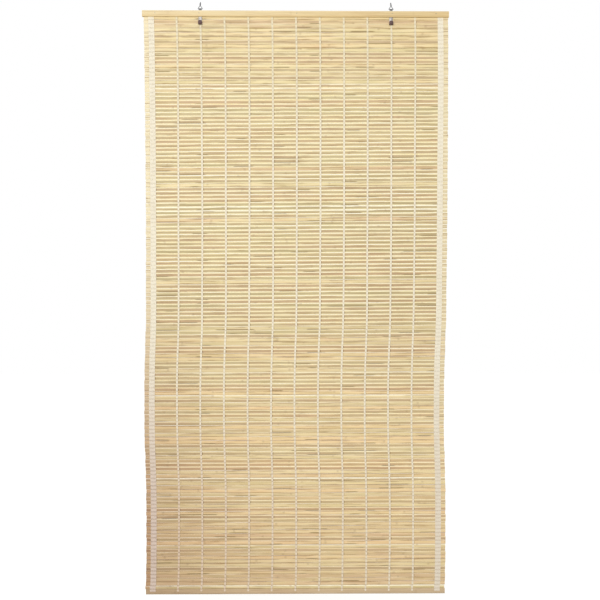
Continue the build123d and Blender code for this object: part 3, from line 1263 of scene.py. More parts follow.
@dataclass
class SlatMat:
    """The split bamboo slats, one woven mat."""

    lay: Lay
    finish: bpy.types.Material
    middle_thread: int = 6
    stations: int = 52
    section_shares: Shares = (
        (-0.3, 0.05), (0.0, -0.04), (0.3, 0.05), (0.45, 0.26), (0.5, 0.62), (0.42, 1.0), (-0.42, 1.0),
        (-0.5, 0.62), (-0.45, 0.26))
    lot_step: float = 500.0
    end_play: float = 0.7 * MM
    end_seed: int = 5
    taper_share: float = 0.04
    taper_rate: float = 11.0
    taper_offset: float = 3.0
    wave: float = 0.4 * MM
    wave_rate: float = 7.0
    wave_offset: float = 17.0
    wave_gain: float = 4.0
    wave_slack: float = 0.3
    wave_least: float = 0.16 * MM
    fine_detail: float = 2.0
    tilt_share: float = 0.07
    tilt_rate: float = 2.5
    tilt_offset: float = 31.0
    bow: float = 0.25 * MM
    bow_rate: float = 2.0
    bow_offset: float = 47.0
    slow_detail: float = 1.0

    def blank(self, low: Vector, high: Vector) -> bpy.types.Mesh:
        """One straight slat with its width as a unit, for the tree to repeat.

        Args:
            low: lowest corner of the mat.
            high: highest corner of the mat.

        Returns:
            The mesh.
        """
        depth = high.y - low.y
        rings = []
        for station in range(self.stations):
            x = low.x + (high.x - low.x) * station / (self.stations - 1)
            rings.append([Vector((x, low.y + depth * deep, across)) for across, deep in self.section_shares])
        return skin("slat_blank", rings)

    def build(self) -> bpy.types.Object:
        """Weave the mat.

        Returns:
            The mat.
        """
        low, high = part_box("slat_mat")
        tree = Weave("split_slats")
        rows = self.lay.rows(tree, high.z, low.z)
        rows = tree.keep(rows, "end_shift", tree.chance(-self.end_play, self.end_play, self.end_seed))
        slats = tree.spread(rows, tree.given())
        x, y, across = tree.separate(tree.node("GeometryNodeInputPosition"))
        slats = tree.keep(slats, "across", across)
        slats = tree.keep(slats, "rail_place", x)
        thread = (x / self.lay.thread_spacing + 0.5).whole() + self.middle_thread
        drift = self.lay.drift(tree, tree.read("row_middle"), thread * self.lay.thread_lot)
        slats = tree.keep(slats, "thread_drift", drift)

        lot = tree.read("strip_seed") * self.lot_step
        width = tree.read("row_width")
        slack = tree.read("row_pitch") - width
        taper = tree.stray(x * self.taper_rate, lot, self.taper_offset, self.fine_detail)
        wave = tree.stray(x * self.wave_rate, lot, self.wave_offset, self.fine_detail)
        tilt = tree.stray(x * self.tilt_rate, lot, self.tilt_offset, self.slow_detail)
        bow = tree.stray(x * self.bow_rate, lot, self.bow_offset, self.slow_detail)
        wave_room = (slack * self.wave_slack + self.wave_least).least(self.wave)
        stretch = width * (1 + taper * (2.0 * self.taper_share))
        place = tree.read("across")
        height = tree.read("row_middle") + place * stretch + wave * wave_room * self.wave_gain
        height = height + self.lay.level(tree, x, tree.read("row_share"))
        depth = y + place * width * tilt * (2.0 * self.tilt_share) + bow * (2.0 * self.bow)
        along = self.lay.hang(tree, x + tree.read("end_shift"), tree.read("row_share"))
        tree.close(tree.move(slats, along, depth, height))
        return tree.weave("bamboo_slats", self.blank(low, high), self.finish)

    def dress(self) -> None:
        """Build the mat and seat it."""
        seat(self.build(), Body.BLIND, "bamboo_slat", "slat_mat")


class Band(Enum):
    """The two kinds of yarn band in the mat."""

    THREAD = "thread"
    TAPE = "tape"


@dataclass
class Yarns:
    """The cotton that binds the slats: eleven twined threads and an edge tape at each end."""

    lay: Lay
    finish: bpy.types.Material
    thread_count: int = 11
    thread_strands: int = 2
    thread_spread: float = 1.6
    thread_dip: float = 0.9 * MM
    tape_strands: int = 9
    tape_spread: float = 1.0
    tape_dip: float = 0.5 * MM
    tape_lot: float = 90.0
    front_sides: int = 5
    back_sides: int = 4
    front_shares: Sequence[float] = (-0.5, -0.43, -0.2, 0.2, 0.43, 0.5)
    back_shares: Sequence[float] = (-0.5, -0.3, 0.3, 0.5)
    strand_spacing: float = 1.6 * MM
    strand_share: float = 0.58
    bead_share: float = 0.22
    bead_power: int = 2
    dip_power: int = 6
    lean: float = 0.45 * MM
    lean_seed: int = 23
    tail_seed: float = 0.5

    def strand(self, shares: Sequence[float], sides: int, half_width: float, half_depth: float,
               face: float, way: int, dip: float) -> bpy.types.Mesh:
        """One strand as it crosses a slat of unit height.

        Args:
            shares: heights of the rings.
            sides: points in a ring.
            half_width: half the strand's width.
            half_depth: half its depth.
            face: depth of the slat's face that it lies on.
            way: -1 in front of the slat and 1 behind it.
            dip: how far the strand sinks between two slats.

        Returns:
            The mesh.
        """
        rings = []
        for share in shares:
            ends = abs(2 * share)
            middle = face + way * (half_depth - dip * ends ** self.dip_power)
            wide = half_width * (1 - self.bead_share * ends ** self.bead_power)
            ring = []
            for side in range(sides):
                angle = 2 * math.pi * (side + 0.5) / sides
                ring.append(Vector((wide * math.cos(angle), middle + half_depth * math.sin(angle), share)))
            rings.append(ring)
        return skin("strand", rings)

    def stitch(self, low: Vector, high: Vector, half_width: float, dip: float) -> bpy.types.Mesh:
        """One strand in front of a slat and one behind it.

        Args:
            low: lowest corner of the band's node.
            high: highest corner of the band's node.
            half_width: half the width of a strand.
            dip: how far a strand sinks between two slats.

        Returns:
            The mesh.
        """
        slat_low, slat_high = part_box("slat_mat")
        front_half, back_half = (slat_low.y - low.y) / 2, (high.y - slat_high.y) / 2
        both = bmesh.new()
        both.from_mesh(self.strand(
            self.front_shares, self.front_sides, half_width, front_half, slat_low.y, -1, dip))
        both.from_mesh(self.strand(
            self.back_shares, self.back_sides, half_width, back_half, slat_high.y, 1, dip))
        mesh = bpy.data.meshes.new("stitch")
        both.to_mesh(mesh)
        both.free()
        return mesh

    def tree(self, top: float, bottom: float, tail: float) -> Weave:
        """The tree that repeats a stitch down the mat and across the band.

        Args:
            top: height of the mat's upper edge.
            bottom: height of its lower edge.
            tail: length of yarn that lies on the batten.

        Returns:
            The tree.
        """
        tree = Weave("yarn_band")
        place = tree.size("Place", 0.0)
        strands = tree.number("Strands", self.thread_strands)
        spacing = tree.size("Spacing", self.strand_spacing)
        lot = tree.size("Lot", 0.0)
        tape = tree.size("Tape", 0.0)
        rows = self.lay.rows(tree, top, bottom)
        tail_row = tree.node("GeometryNodePoints", None, {"Count": 1})
        for name, number in (("row_middle", bottom - tail / 2), ("row_width", tail), ("row_pitch", tail),
                             ("row_share", 1.0), ("strip_seed", self.tail_seed)):
            tail_row = tree.keep(tail_row, name, number)
        copies = tree.node("GeometryNodeDuplicateElements", {"domain": "POINT"},
                           {"Geometry": tree.join((rows, tail_row)), "Amount": strands})
        strand_place = (copies.other("Duplicate Index") - (strands - 1) * 0.5) * spacing
        rows = tree.keep(copies, "strand_place", strand_place)
        rows = tree.keep(rows, "strand_lean", tree.chance(-1.0, 1.0, self.lean_seed))
        yarn = tree.spread(rows, tree.given())

        x, y, share = tree.separate(tree.node("GeometryNodeInputPosition"))
        yarn = tree.keep(tree.keep(yarn, "stitch", share), "tape", tape)
        height = tree.read("row_middle") + tree.read("stitch") * tree.read("row_pitch")
        lean = tree.read("stitch") * tree.read("strand_lean") * (2.0 * self.lean)
        across = x + tree.read("strand_place") + lean + self.lay.drift(tree, height, lot)
        along = self.lay.hang(tree, across + place, tree.read("row_share"))
        height = height + self.lay.level(tree, across + place, tree.read("row_share"))
        tree.close(tree.move(yarn, along, y, height))
        return tree

    def band(self, tree: Weave, kind: Band, node: str, lot: float) -> None:
        """Weave one thread or tape and seat it.

        Args:
            tree: the tree that repeats the stitches.
            kind: thread or tape.
            node: name of the CAD node that it stands for.
            lot: number that sets its own drift.
        """
        low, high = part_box(node)
        strands, spread, dip = self.tape_strands, self.tape_spread, self.tape_dip
        if kind is Band.THREAD:
            strands, spread, dip = self.thread_strands, self.thread_spread, self.thread_dip
        spacing = (high.x - low.x) / strands * spread
        stitch = self.stitch(low, high, spacing * self.strand_share, dip)
        sizes = {"Place": (low.x + high.x) / 2, "Strands": strands, "Spacing": spacing, "Lot": lot,
                 "Tape": float(kind is Band.TAPE)}
        seat(tree.weave(f"yarn_{node}", stitch, self.finish, sizes), Body.BLIND, "cotton", node)

    def dress(self) -> None:
        """Weave every thread and tape."""
        low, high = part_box("slat_mat")
        tail = low.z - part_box("edge_tape_left")[0].z
        tree = self.tree(high.z, low.z, tail)
        for number in range(1, self.thread_count + 1):
            self.band(tree, Band.THREAD, f"warp_thread_{number:02d}", number * self.lay.thread_lot)
        for side in Side:
            self.band(tree, Band.TAPE, f"edge_tape_{side.word}", self.tape_lot + side.value)


@dataclass
class Strip:
    """A planed bamboo strip of the rail or the batten, with eased edges and growth nodes."""

    node: str
    slot: str
    finish: bpy.types.Material
    front_round: float
    back_round: float
    lower_only: bool = False
    strip_seed: float = 0.4
    recesses: Sequence[Span] = ()
    recess_depth: float = 0.0
    recess_step: float = 0.02 * MM
    recess_guard: float = 1.0 * MM
    stations: int = 90
    arc_steps: int = 4
    node_places: Sequence[float] = (-0.325, -0.085, 0.19, 0.405)
    node_rise: float = 0.28 * MM
    node_reach: float = 7.0 * MM
    wave: float = 0.056 * MM
    slow_rate: float = 23.0
    slow_start: float = 9.0
    quick_rate: float = 61.0
    quick_start: float = 1.3

    def section(self, low: Vector, high: Vector) -> list[tuple[float, float]]:
        """The strip's outline across its length.

        Args:
            low: lowest corner of the CAD node.
            high: highest corner of the CAD node.

        Returns:
            Depth and height of each point.
        """
        corners = (
            (low.y, low.z, 1, 1, self.front_round),
            (high.y, low.z, -1, 1, self.front_round if self.lower_only else self.back_round),
            (high.y, high.z, -1, -1, self.back_round),
            (low.y, high.z, 1, -1, self.back_round if self.lower_only else self.front_round),
        )
        outline = []
        for index, (y, z, in_y, in_z, radius) in enumerate(corners):
            for step in range(self.arc_steps + 1):
                angle = math.pi * (1 + index / 2 + 0.5 * step / self.arc_steps)
                outline.append((y + in_y * radius + radius * math.cos(angle),
                                z + in_z * radius + radius * math.sin(angle)))
        return outline

    def places(self, low: Vector, high: Vector) -> list[float]:
        """Where the rings stand along the strip, with a close pair at each recess edge.

        Args:
            low: lowest corner of the CAD node.
            high: highest corner of the CAD node.

        Returns:
            The places from left to right.
        """
        places = [low.x + (high.x - low.x) * step / (self.stations - 1) for step in range(self.stations)]
        for left, right in self.recesses:
            places = [x for x in places if not left - self.recess_guard < x < right + self.recess_guard]
            for edge in (left, right):
                places += [edge - self.recess_step, edge + self.recess_step]
        return sorted(places)

    def ring(self, x: float, outline: list[tuple[float, float]], low: Vector, high: Vector) -> list[Vector]:
        """One ring: the outline with plane waves, growth nodes and recesses.

        Args:
            x: place along the strip.
            outline: the section.
            low: lowest corner of the CAD node.
            high: highest corner of the CAD node.

        Returns:
            The ring's points.
        """
        recessed = any(left < x < right for left, right in self.recesses)
        swell = sum(math.exp(-(((x - place) / self.node_reach) ** 2)) for place in self.node_places)
        wave = math.sin(x * self.slow_rate + self.strip_seed * self.slow_start)
        wave += math.sin(x * self.quick_rate + self.quick_start)
        ring = []
        for y, z in outline:
            front = (high.y - y) / (high.y - low.y)
            rim = abs(z - (low.z + high.z) / 2) / (high.z - low.z) * 2
            y_here = y + (self.wave * wave * rim - self.node_rise * swell * (1 - rim)) * front
            if recessed and y > high.y - self.recess_depth:
                y_here = min(y_here, high.y - self.recess_depth)
            ring.append(Vector((x, y_here, z)))
        return ring

    def build(self) -> bpy.types.Object:
        """Plane the strip.

        Returns:
            The strip.
        """
        low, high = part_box(self.node)
        outline = self.section(low, high)
        mesh = skin(f"planed_{self.node}", [self.ring(x, outline, low, high) for x in self.places(low, high)])
        middle, tall = (low.z + high.z) / 2, high.z - low.z
        keep_number(mesh, "across", lambda place: (place.z - middle) / tall)
        keep_number(mesh, "strip_seed", lambda place: self.strip_seed)
        return piece_from(mesh, self.finish)

    def dress(self) -> None:
        """Build the strip and seat it."""
        seat(self.build(), Body.BLIND, self.slot, self.node)


def rounded_route(corners: Sequence[Vector], radii: Sequence[float], steps: int) -> list[Vector]:
    """A route through corners, each cut by an arc.

    Args:
        corners: the corner points from end to end.
        radii: bend radius at each inner corner.
        steps: pieces in each arc.

    Returns:
        The points along the route.
    """
    route = [corners[0]]
    for before, corner, after, radius in zip(corners, corners[1:], corners[2:], radii):
        back, on = (before - corner).normalized(), (after - corner).normalized()
        half = back.angle(on) / 2
        reach = radius / math.tan(half)
        centre = corner + (back + on).normalized() * (radius / math.sin(half))
        start, end = corner + back * reach - centre, corner + on * reach - centre
        route += [centre + start.slerp(end, step / steps).normalized() * radius for step in range(steps + 1)]
    return route + [corners[-1]]


def tube(name: str, route: Sequence[Vector], radius: float, sides: int, end_share: float) -> bpy.types.Mesh:
    """A round wire along a route.

    Args:
        name: name of the mesh.
        route: points along the wire's middle.
        radius: radius of the wire.
        sides: points round the wire.
        end_share: share of the radius that is left at both ends.

    Returns:
        The mesh.
    """
    ways = [(after - before).normalized() for before, after in
            zip([route[0], *route[:-1]], [*route[1:], route[-1]])]
    normal = ways[0].orthogonal().normalized()
    rings = []
    for index, (point, way) in enumerate(zip(route, ways)):
        normal = (normal - way * normal.dot(way)).normalized()
        other = way.cross(normal)
        ease = end_share if index in (0, len(route) - 1) else 1.0
        rings.append([point + (normal * math.cos(angle) + other * math.sin(angle)) * (radius * ease)
                      for angle in (2 * math.pi * side / sides for side in range(sides))])
    return skin(name, rings)


def dome(half: float, radius: float, left: float, blunt_share: float = 0.08) -> float:
    """Half the width of a strip with a rounded end, a way before that end.

    Args:
        half: half the full width.
        radius: radius of the end's corners.
        left: way left to the end.
        blunt_share: share of the radius that keeps the very end open.

    Returns:
        Half the width there.
    """
    if left >= radius:
        return half
    return half - radius + math.sqrt(max(radius ** 2 - (radius - left) ** 2, (blunt_share * radius) ** 2))


@dataclass
class TieHook:
    """A plated strap: tongue rolled round the hanger, flat run in the rail, hook below with a dark tip."""

    side: Side
    zinc: bpy.types.Material
    vinyl: bpy.types.Material
    thickness: float = 1.2 * MM
    ease: float = 0.28 * MM
    ease_limit: float = 0.9
    ease_shoulder: float = 0.3
    tongue_width: float = 8.2 * MM
    tongue_step: float = 0.5 * MM
    rail_margin: float = 1.0 * MM
    straight_end: float = 6.0 * MM
    wrap_angle: float = 110.0
    roll_angle: float = 240.0
    arc_steps: int = 14
    tip_wall: float = 0.8 * MM
    tip_round: float = 4.6 * MM
    tip_ease: float = 0.7 * MM
    tip_dome: float = 0.8
    tip_shares: Sequence[float] = (0.15, 0.3, 0.45, 0.6, 0.72, 0.82, 0.9, 0.95, 0.985, 1.0)
    low: Vector = field(init=False)
    high: Vector = field(init=False)
    tip_low: Vector = field(init=False)
    tip_high: Vector = field(init=False)
    rail_low: Vector = field(init=False)
    rail_high: Vector = field(init=False)
    middle: float = field(init=False)

    def __post_init__(self) -> None:
        """Read the places of the strap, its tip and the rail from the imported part."""
        self.low, self.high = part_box(f"strap_hook_{self.side.word}")
        self.tip_low, self.tip_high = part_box(f"hook_tip_{self.side.word}")
        self.rail_low, self.rail_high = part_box("head_rail_front")
        self.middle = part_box("warp_thread_01")[0].y - self.thickness / 2

    @property
    def place(self) -> float:
        """The strap's place along the rail."""
        return (self.low.x + self.high.x) / 2

    @property
    def bend(self) -> float:
        """The radius of the hook's bend at the strap's middle."""
        return (self.middle - self.low.y - self.thickness / 2) / 2

    @property
    def bend_height(self) -> float:
        """The height of the bend's centre."""
        return self.low.z + self.thickness / 2 + self.bend

    def hook_line(self, from_angle: float, end: float) -> list[Vector]:
        """Points along the strap's middle from an angle of its bend to the hook's end.

        Args:
            from_angle: angle on the bend where the line starts, 0 at the strap's flat run.
            end: height where the line ends.

        Returns:
            The points, all at the strap's own place along the rail.
        """
        centre = Vector((self.place, self.middle - self.bend, self.bend_height))
        points = []
        for step in range(self.arc_steps + 1):
            angle = math.radians(from_angle + (180 - from_angle) * step / self.arc_steps)
            points.append(centre + Vector((0, math.cos(angle), -math.sin(angle))) * self.bend)
        rise = end - self.bend_height
        return points + [points[-1] + Vector((0, 0, rise * share)) for share in self.tip_shares]

    def strap_line(self) -> list[Vector]:
        """Points along the strap's middle from the rolled tongue to the hook's end.

        Returns:
            The points.
        """
        bar = self.side.hinge
        roll = bar.y - self.middle
        points = []
        for step in range(self.arc_steps + 1):
            angle = math.radians(180 - self.roll_angle * (1 - step / self.arc_steps))
            points.append(bar + Vector((0, math.cos(angle), math.sin(angle))) * roll)
        for height in (self.rail_high.z + self.rail_margin, self.rail_high.z - self.rail_margin,
                       self.rail_low.z, self.bend_height + self.straight_end):
            points.append(Vector((self.place, self.middle, height)))
        return points + self.hook_line(0.0, self.tip_high.z - self.tip_wall)

    def ribbon(self, name: str, line: Sequence[Vector], half_width: Callable[[Vector, float], float],
               half_depth: Callable[[float], float], ease: float) -> bpy.types.Mesh:
        """A flat strip with eased edges along a line.

        Args:
            name: name of the mesh.
            line: points along its middle.
            half_width: half the width at a point, given the point and the way left to the end.
            half_depth: half the thickness, given the way left to the end.
            ease: how far the edges are eased.

        Returns:
            The mesh.
        """
        left = [0.0]
        for one, two in zip(reversed(line[:-1]), reversed(line[1:])):
            left.append(left[-1] + (two - one).length)
        left.reverse()
        rings = []
        for index, point in enumerate(line):
            before, after = line[max(index - 1, 0)], line[min(index + 1, len(line) - 1)]
            out = (after - before).normalized().cross(Vector((1, 0, 0)))
            wide, deep = half_width(point, left[index]), half_depth(left[index])
            soft = min(ease, deep * self.ease_limit, wide * self.ease_limit)
            shoulder = soft * self.ease_shoulder
            shape = ((wide, deep - soft), (wide - shoulder, deep - shoulder), (wide - soft, deep))
            half = [*shape, *((-w, d) for w, d in reversed(shape))]
            ring = [*half, *((-w, -d) for w, d in half)]
            rings.append([point + Vector((w, 0, 0)) + out * d for w, d in ring])
        return skin(name, rings)

    def strap_width(self, point: Vector, left: float) -> float:
        """Half the strap's width: a narrow tongue above the rail, full below, round at the hook's end.

        Args:
            point: the point on the strap's middle.
            left: way left to the end.

        Returns:
            Half the width there.
        """
        if point.z > self.rail_high.z - self.tongue_step:
            return self.tongue_width / 2
        return dome((self.high.x - self.low.x) / 2, self.tip_round - self.tip_wall, left)

    def build(self) -> tuple[bpy.types.Object, bpy.types.Object]:
        """Bend the strap and dip its tip.

        Returns:
            The strap and the tip.
        """
        tip_half = (self.tip_high.x - self.tip_low.x) / 2
        tip_deep = self.thickness / 2 + self.tip_wall
        strap = self.ribbon(f"strap_{self.side.word}", self.strap_line(), self.strap_width,
                            lambda left: self.thickness / 2, self.ease)
        tip = self.ribbon(f"tip_{self.side.word}", self.hook_line(180 - self.wrap_angle, self.tip_high.z),
                          lambda point, left: dome(tip_half, self.tip_round, left),
                          lambda left: dome(tip_deep, tip_deep * self.tip_dome, left), self.tip_ease)
        return piece_from(strap, self.zinc), piece_from(tip, self.vinyl)

    def dress(self) -> None:
        """Build the strap and its tip and seat them."""
        strap, tip = self.build()
        seat(strap, Body.BLIND, "zinc_plate", f"strap_hook_{self.side.word}")
        seat(tip, Body.BLIND, "brown_vinyl", f"hook_tip_{self.side.word}")


@dataclass
class Hanger:
    """A wire hanger: triangular loop in the strap's roll, twisted neck and open hook."""

    side: Side
    finish: bpy.types.Material
    wire: float = 1.6 * MM
    wire_end: float = 0.72
    spacing: float = 1.7 * MM
    loop_width: float = 15.2 * MM
    loop_height: float = 9.4 * MM
    loop_bend: float = 1.6 * MM
    twist_length: float = 3.6 * MM
    twist_turns: int = 1
    twist_steps: int = 32
    neck_bend: float = 0.9 * MM
    neck_length: float = 1.2 * MM
    hook_span: float = 7.2 * MM
    hook_bend_share: float = 0.45
    hook_return: float = 6.8 * MM
    lean: float = 1.8 * MM
    sides: int = 12
    arc_steps: int = 8

    def build(self) -> bpy.types.Object:
        """Bend the wire.

        Returns:
            The hanger.
        """
        node = f"hanger_{self.side.word}"
        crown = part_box(node)[1].z - self.wire / 2
        bar = self.side.hinge
        way = self.side.value
        half = self.spacing / 2
        neck = bar.z + self.loop_height
        twist_top = neck + self.twist_length
        back = bar.y + self.hook_span
        shank, tail = bar.x + way * half, bar.x - way * half
        lean = shank - way * self.lean
        corner = way * self.loop_width / 2
        hook_bend = self.hook_span * self.hook_bend_share

        hook = rounded_route(
            [Vector((lean, back, crown - self.hook_return)), Vector((lean, back, crown)),
             Vector((lean, bar.y, crown)), Vector((shank, bar.y, twist_top + self.neck_length)),
             Vector((shank, bar.y, twist_top))],
            [hook_bend, hook_bend, self.neck_bend], self.arc_steps)
        loop = rounded_route(
            [Vector((shank, bar.y, neck)), Vector((bar.x + corner, bar.y, bar.z)),
             Vector((bar.x - corner, bar.y, bar.z)), Vector((tail, bar.y, neck))],
            [self.loop_bend, self.loop_bend], self.arc_steps)
        centre = Vector((bar.x, bar.y, 0))
        down = self.twist(centre, twist_top, neck, way * half)
        up = self.twist(centre, neck, twist_top, -way * half)
        route = [*hook[:-1], *down, *loop[1:-1], *up]
        mesh = tube(f"wire_{node}", route, self.wire / 2, self.sides, self.wire_end)
        return piece_from(mesh, self.finish)

    def twist(self, centre: Vector, start: float, end: float, reach: float) -> list[Vector]:
        """Points of one wire in the twisted neck.

        Args:
            centre: the neck's axis.
            start: height where the wire enters.
            end: height where it leaves.
            reach: how far the wire stands from the axis, with its sign along X.

        Returns:
            The points.
        """
        points = []
        for step in range(self.twist_steps + 1):
            share = step / self.twist_steps
            level = share if end > start else 1 - share
            angle = 2 * math.pi * self.twist_turns * level
            points.append(centre + Vector((math.cos(angle) * reach, math.sin(angle) * reach,
                                           start + (end - start) * share)))
        return points

    def dress(self) -> None:
        """Build the hanger and seat it on its own body."""
        seat(self.build(), self.side.hanger_body, "steel_wire", f"hanger_{self.side.word}")


@dataclass
class Brads:
    """Small flat-headed brads in the face of the rail, one at each end of their node and some between."""

    node: str
    finish: bpy.types.Material
    between: Sequence[float] = ()
    half_width: float = 1.5 * MM
    half_height: float = 1.0 * MM
    sides: int = 12
    corner_power: float = 4.0
    sink: float = 0.5 * MM
    foot_share: float = 0.86
    head_shares: Shares = ((1.0, 0.25), (0.94, 0.7), (0.6, 1.0))

    def blank(self, face: float, rise: float) -> bpy.types.Mesh:
        """One domed head at the rail's face, for the tree to repeat.

        Args:
            face: depth of the rail's face.
            rise: how far the head stands out.

        Returns:
            The mesh.
        """
        power = self.corner_power
        head = [(share, up * rise) for share, up in self.head_shares]
        rings = []
        for share, out in [(self.foot_share, -self.sink), *head]:
            ring = []
            for side in range(self.sides):
                angle = 2 * math.pi * side / self.sides
                cos, sin = math.cos(angle), math.sin(angle)
                square = (abs(cos) ** power + abs(sin) ** power) ** (-1 / power)
                ring.append(Vector((self.half_width * share * cos * square, face - out,
                                    self.half_height * share * sin * square)))
            rings.append(ring)
        return skin("brad_blank", rings)

    def build(self) -> bpy.types.Object:
        """Drive the brads.

        Returns:
            The brads of this group.
        """
        low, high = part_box(self.node)
        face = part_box("head_rail_front")[0].y
        tree = Weave(f"driven_{self.node}")
        height = tree.size("Height", (low.z + high.z) / 2)
        points = []
        for index, x in enumerate((low.x + self.half_width, *self.between, high.x - self.half_width)):
            place = tree.combine(tree.size(f"Place {index + 1}", x), 0.0, height)
            points.append(tree.node("GeometryNodePoints", None, {"Count": 1, "Position": place}))
        tree.close(tree.spread(tree.join(points), tree.given()))
        return tree.weave(f"heads_{self.node}", self.blank(face, face - low.y), self.finish)

    def dress(self) -> None:
        """Build the brads and seat them."""
        seat(self.build(), Body.BLIND, "brad_steel", self.node)


@dataclass
class Studio:
    """Camera, soft light, white surroundings and the pale floor below the blind."""

    eye: Vector = field(default_factory=lambda: Vector((-0.0409, -3.4877, -0.7054)))
    yaw: float = 0.885
    pitch: float = -2.212
    roll: float = 0.02
    focal_pixels: float = 1175.6
    key_place: Vector = field(default_factory=lambda: Vector((-0.6, -3.4, 0.58)))
    key_aim: Vector = field(default_factory=lambda: Vector((0.0, 0.0, -0.75)))
    key_side: float = 1.6
    key_watts: float = 66.3
    sky: float = 0.58
    floor_drop: float = 0.16
    floor_side: float = 16.0
    floor_tone: Colour = (0.86, 0.85, 0.83)
    floor_glow: float = 0.55

    def camera(self) -> None:
        """Set the camera that sees the blind as the photo does."""
        yaw, pitch, roll = (math.radians(angle) for angle in (self.yaw, self.pitch, self.roll))
        ahead = Vector((math.sin(yaw) * math.cos(pitch), math.cos(yaw) * math.cos(pitch), math.sin(pitch)))
        level = Vector((math.cos(yaw), -math.sin(yaw), 0))
        above = level.cross(ahead)
        right = level * math.cos(roll) + above * math.sin(roll)
        up = above * math.cos(roll) - level * math.sin(roll)
        data = bpy.data.cameras.new("photo_camera")
        data.sensor_fit = "HORIZONTAL"
        data.sensor_width = FILM_WIDTH
        data.lens = self.focal_pixels / PHOTO_SIDE * FILM_WIDTH
        camera = bpy.data.objects.new("photo_camera", data)
        turn = Matrix((right, up, -ahead)).transposed()
        camera.matrix_world = Matrix.Translation(self.eye) @ turn.to_4x4()
        bpy.context.scene.collection.objects.link(camera)
        bpy.context.scene.camera = camera

    def key_light(self) -> None:
        """Hang the large soft lamp in front of the blind and above it."""
        data = bpy.data.lights.new("soft_key", "AREA")
        data.shape = "SQUARE"
        data.size = self.key_side
        data.energy = self.key_watts
        lamp = bpy.data.objects.new("soft_key", data)
        lamp.location = self.key_place
        lamp.rotation_euler = (self.key_aim - self.key_place).to_track_quat("-Z", "Y").to_euler()
        bpy.context.scene.collection.objects.link(lamp)

    @staticmethod
    def seen(graph: Graph) -> Value:
        """1 where the camera sees a surface directly, in a mirror or through glass."""
        path = graph.node("ShaderNodeLightPath", None, None, "Is Camera Ray")
        return path.most(path.other("Is Glossy Ray")).most(path.other("Is Transmission Ray"))

    def surroundings(self) -> None:
        """White for the camera, and soft light from all round."""
        world = bpy.data.worlds.new("studio")
        world.use_nodes = True
        world.node_tree.nodes.clear()
        graph = Graph(world.node_tree)
        strength = self.sky + self.seen(graph) * (1.0 - self.sky)
        sky = graph.node("ShaderNodeBackground", None, {"Color": WHITE, "Strength": strength})
        graph.node("ShaderNodeOutputWorld", None, {"Surface": sky})
        bpy.context.scene.world = world

    def floor(self) -> None:
        """Lay the pale floor below the blind."""
        level = CAD_BOX[0][2] - self.floor_drop
        half = self.floor_side / 2
        mesh = bpy.data.meshes.new("floor")
        corners = [(-half, -half, level), (half, -half, level), (half, half, level), (-half, half, level)]
        mesh.from_pydata(corners, [], [(0, 1, 2, 3)])
        material = bpy.data.materials.new("pale_floor")
        material.use_nodes = True
        material.node_tree.nodes.clear()
        graph = Graph(material.node_tree)
        matt = graph.node("ShaderNodeBsdfDiffuse", None, {"Color": self.floor_tone})
        glow = graph.node("ShaderNodeEmission", None,
                          {"Color": WHITE, "Strength": self.seen(graph) * self.floor_glow})
        both = graph.node("ShaderNodeAddShader", None, {0: matt, 1: glow})
        graph.node("ShaderNodeOutputMaterial", None, {"Surface": both})
        piece_from(mesh, material)

    def build(self) -> None:
        """Set up the whole studio."""
        bpy.context.scene.view_settings.view_transform = "Standard"
        self.camera()
        self.key_light()
        self.surroundings()
        self.floor()


SLAT_TONES: Stops = (
    (0.0, (0.74, 0.62, 0.33)), (0.2, (0.82, 0.69, 0.38)), (0.4, (0.86, 0.72, 0.42)),
    (0.6, (0.81, 0.64, 0.35)), (0.8, (0.82, 0.62, 0.37)), (1.0, (0.73, 0.55, 0.31)))
RAIL_TONES: Stops = ((0.0, (0.75, 0.61, 0.34)), (0.5, (0.78, 0.63, 0.36)), (1.0, (0.70, 0.52, 0.27)))
BATTEN_TONES: Stops = ((0.0, (0.68, 0.52, 0.31)), (0.5, (0.64, 0.48, 0.29)), (1.0, (0.55, 0.39, 0.22)))
LOW_SHARES: Shares = ((0.0, 1.0), (0.1, 0.86), (0.25, 0.42), (0.5, 0.08), (0.75, 0.0), (1.0, 0.0))
MIDDLE_BRAD_OFFSET = 1.6 * MM


def strap_recesses(width_play: float = 0.1 * MM) -> list[Span]:
    """The ends of each hollow for a strap behind the front strip, with some play beside the strap."""
    boxes = [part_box(f"strap_hook_{side.word}") for side in Side]
    return [(low.x - width_play, high.x + width_play) for low, high in boxes]


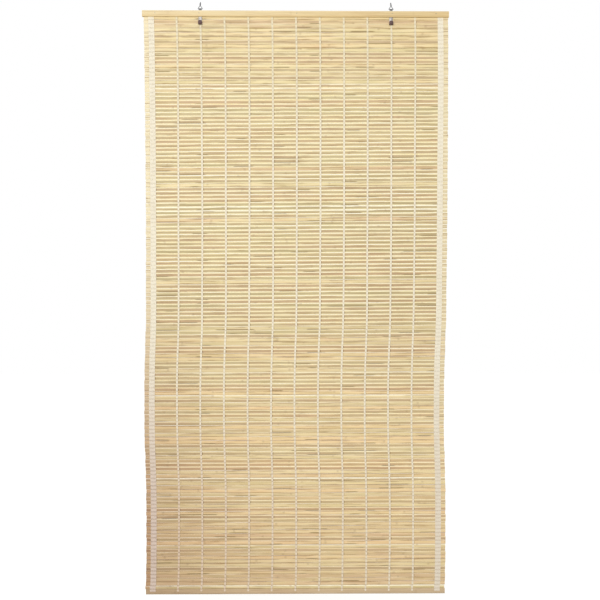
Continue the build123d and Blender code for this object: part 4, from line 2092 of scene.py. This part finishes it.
def main() -> None:
    """Build the blind piece by piece."""
    logging.basicConfig(level=logging.INFO, format="%(name)s: %(message)s")
    Studio().build()

    slats = SplitBamboo("split_bamboo", SLAT_TONES, low_shares=LOW_SHARES).material()
    # The rail and the batten carry a painted highlight along the upper edge and painted shade along the lower
    # edge.
    rail = PlanedBamboo("planed_bamboo", RAIL_TONES, stain=(0.50, 0.34, 0.16), patch_share=0.6,
                        stain_share=0.3, node_share=0.1, fibres_across=16.0, roughness=0.46).material()
    batten = PlanedBamboo("brown_bamboo", BATTEN_TONES, patch_share=0.7, stain_share=0.45, node_share=0.2,
                          fibres_across=14.0, low_shares=LOW_SHARES, upper=(0.70, 0.54, 0.33),
                          lower=(0.90, 0.94, 1.0), right=(0.96, 0.97, 1.0)).material()
    cotton = Cotton("undyed_cotton").material()
    zinc = Metal("dull_zinc", bright=(0.34, 0.32, 0.30), dull=(0.27, 0.25, 0.23), roughness=0.5,
                 rubbed_from=9.5 * MM).material()
    wire = Metal("drawn_wire", bright=(0.035, 0.035, 0.038), dull=(0.02, 0.02, 0.02),
                 roughness=0.4).material()
    brad = Metal("brad_steel", bright=(0.34, 0.31, 0.27), dull=(0.16, 0.14, 0.12),
                 roughness=0.4).material()
    vinyl = Vinyl("brown_vinyl").material()

    lay = Lay()
    SlatMat(lay, slats).dress()
    Yarns(lay, cotton).dress()
    Strip("head_rail_front", "bamboo_rail", rail, front_round=1.6 * MM, back_round=0.3 * MM, strip_seed=0.42,
          recesses=strap_recesses(), recess_depth=1.3 * MM).dress()
    Strip("head_rail_back", "bamboo_rail", rail, front_round=0.5 * MM, back_round=0.5 * MM, strip_seed=0.61,
          node_places=(-0.2, 0.07, 0.33), node_rise=0.0).dress()
    Strip("bottom_batten", "bamboo_batten", batten, front_round=1.4 * MM, back_round=0.3 * MM,
          lower_only=True, strip_seed=0.5, node_places=(-0.27, 0.02, 0.31), node_rise=0.0).dress()
    for side in Side:
        TieHook(side, zinc, vinyl).dress()
        Hanger(side, wire).dress()
    middle_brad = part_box("warp_thread_06")[1].x + MIDDLE_BRAD_OFFSET
    Brads("rail_brads", brad, between=[middle_brad]).dress()
    Brads("strap_brads", brad).dress()


if __name__ == "__main__":
    main()
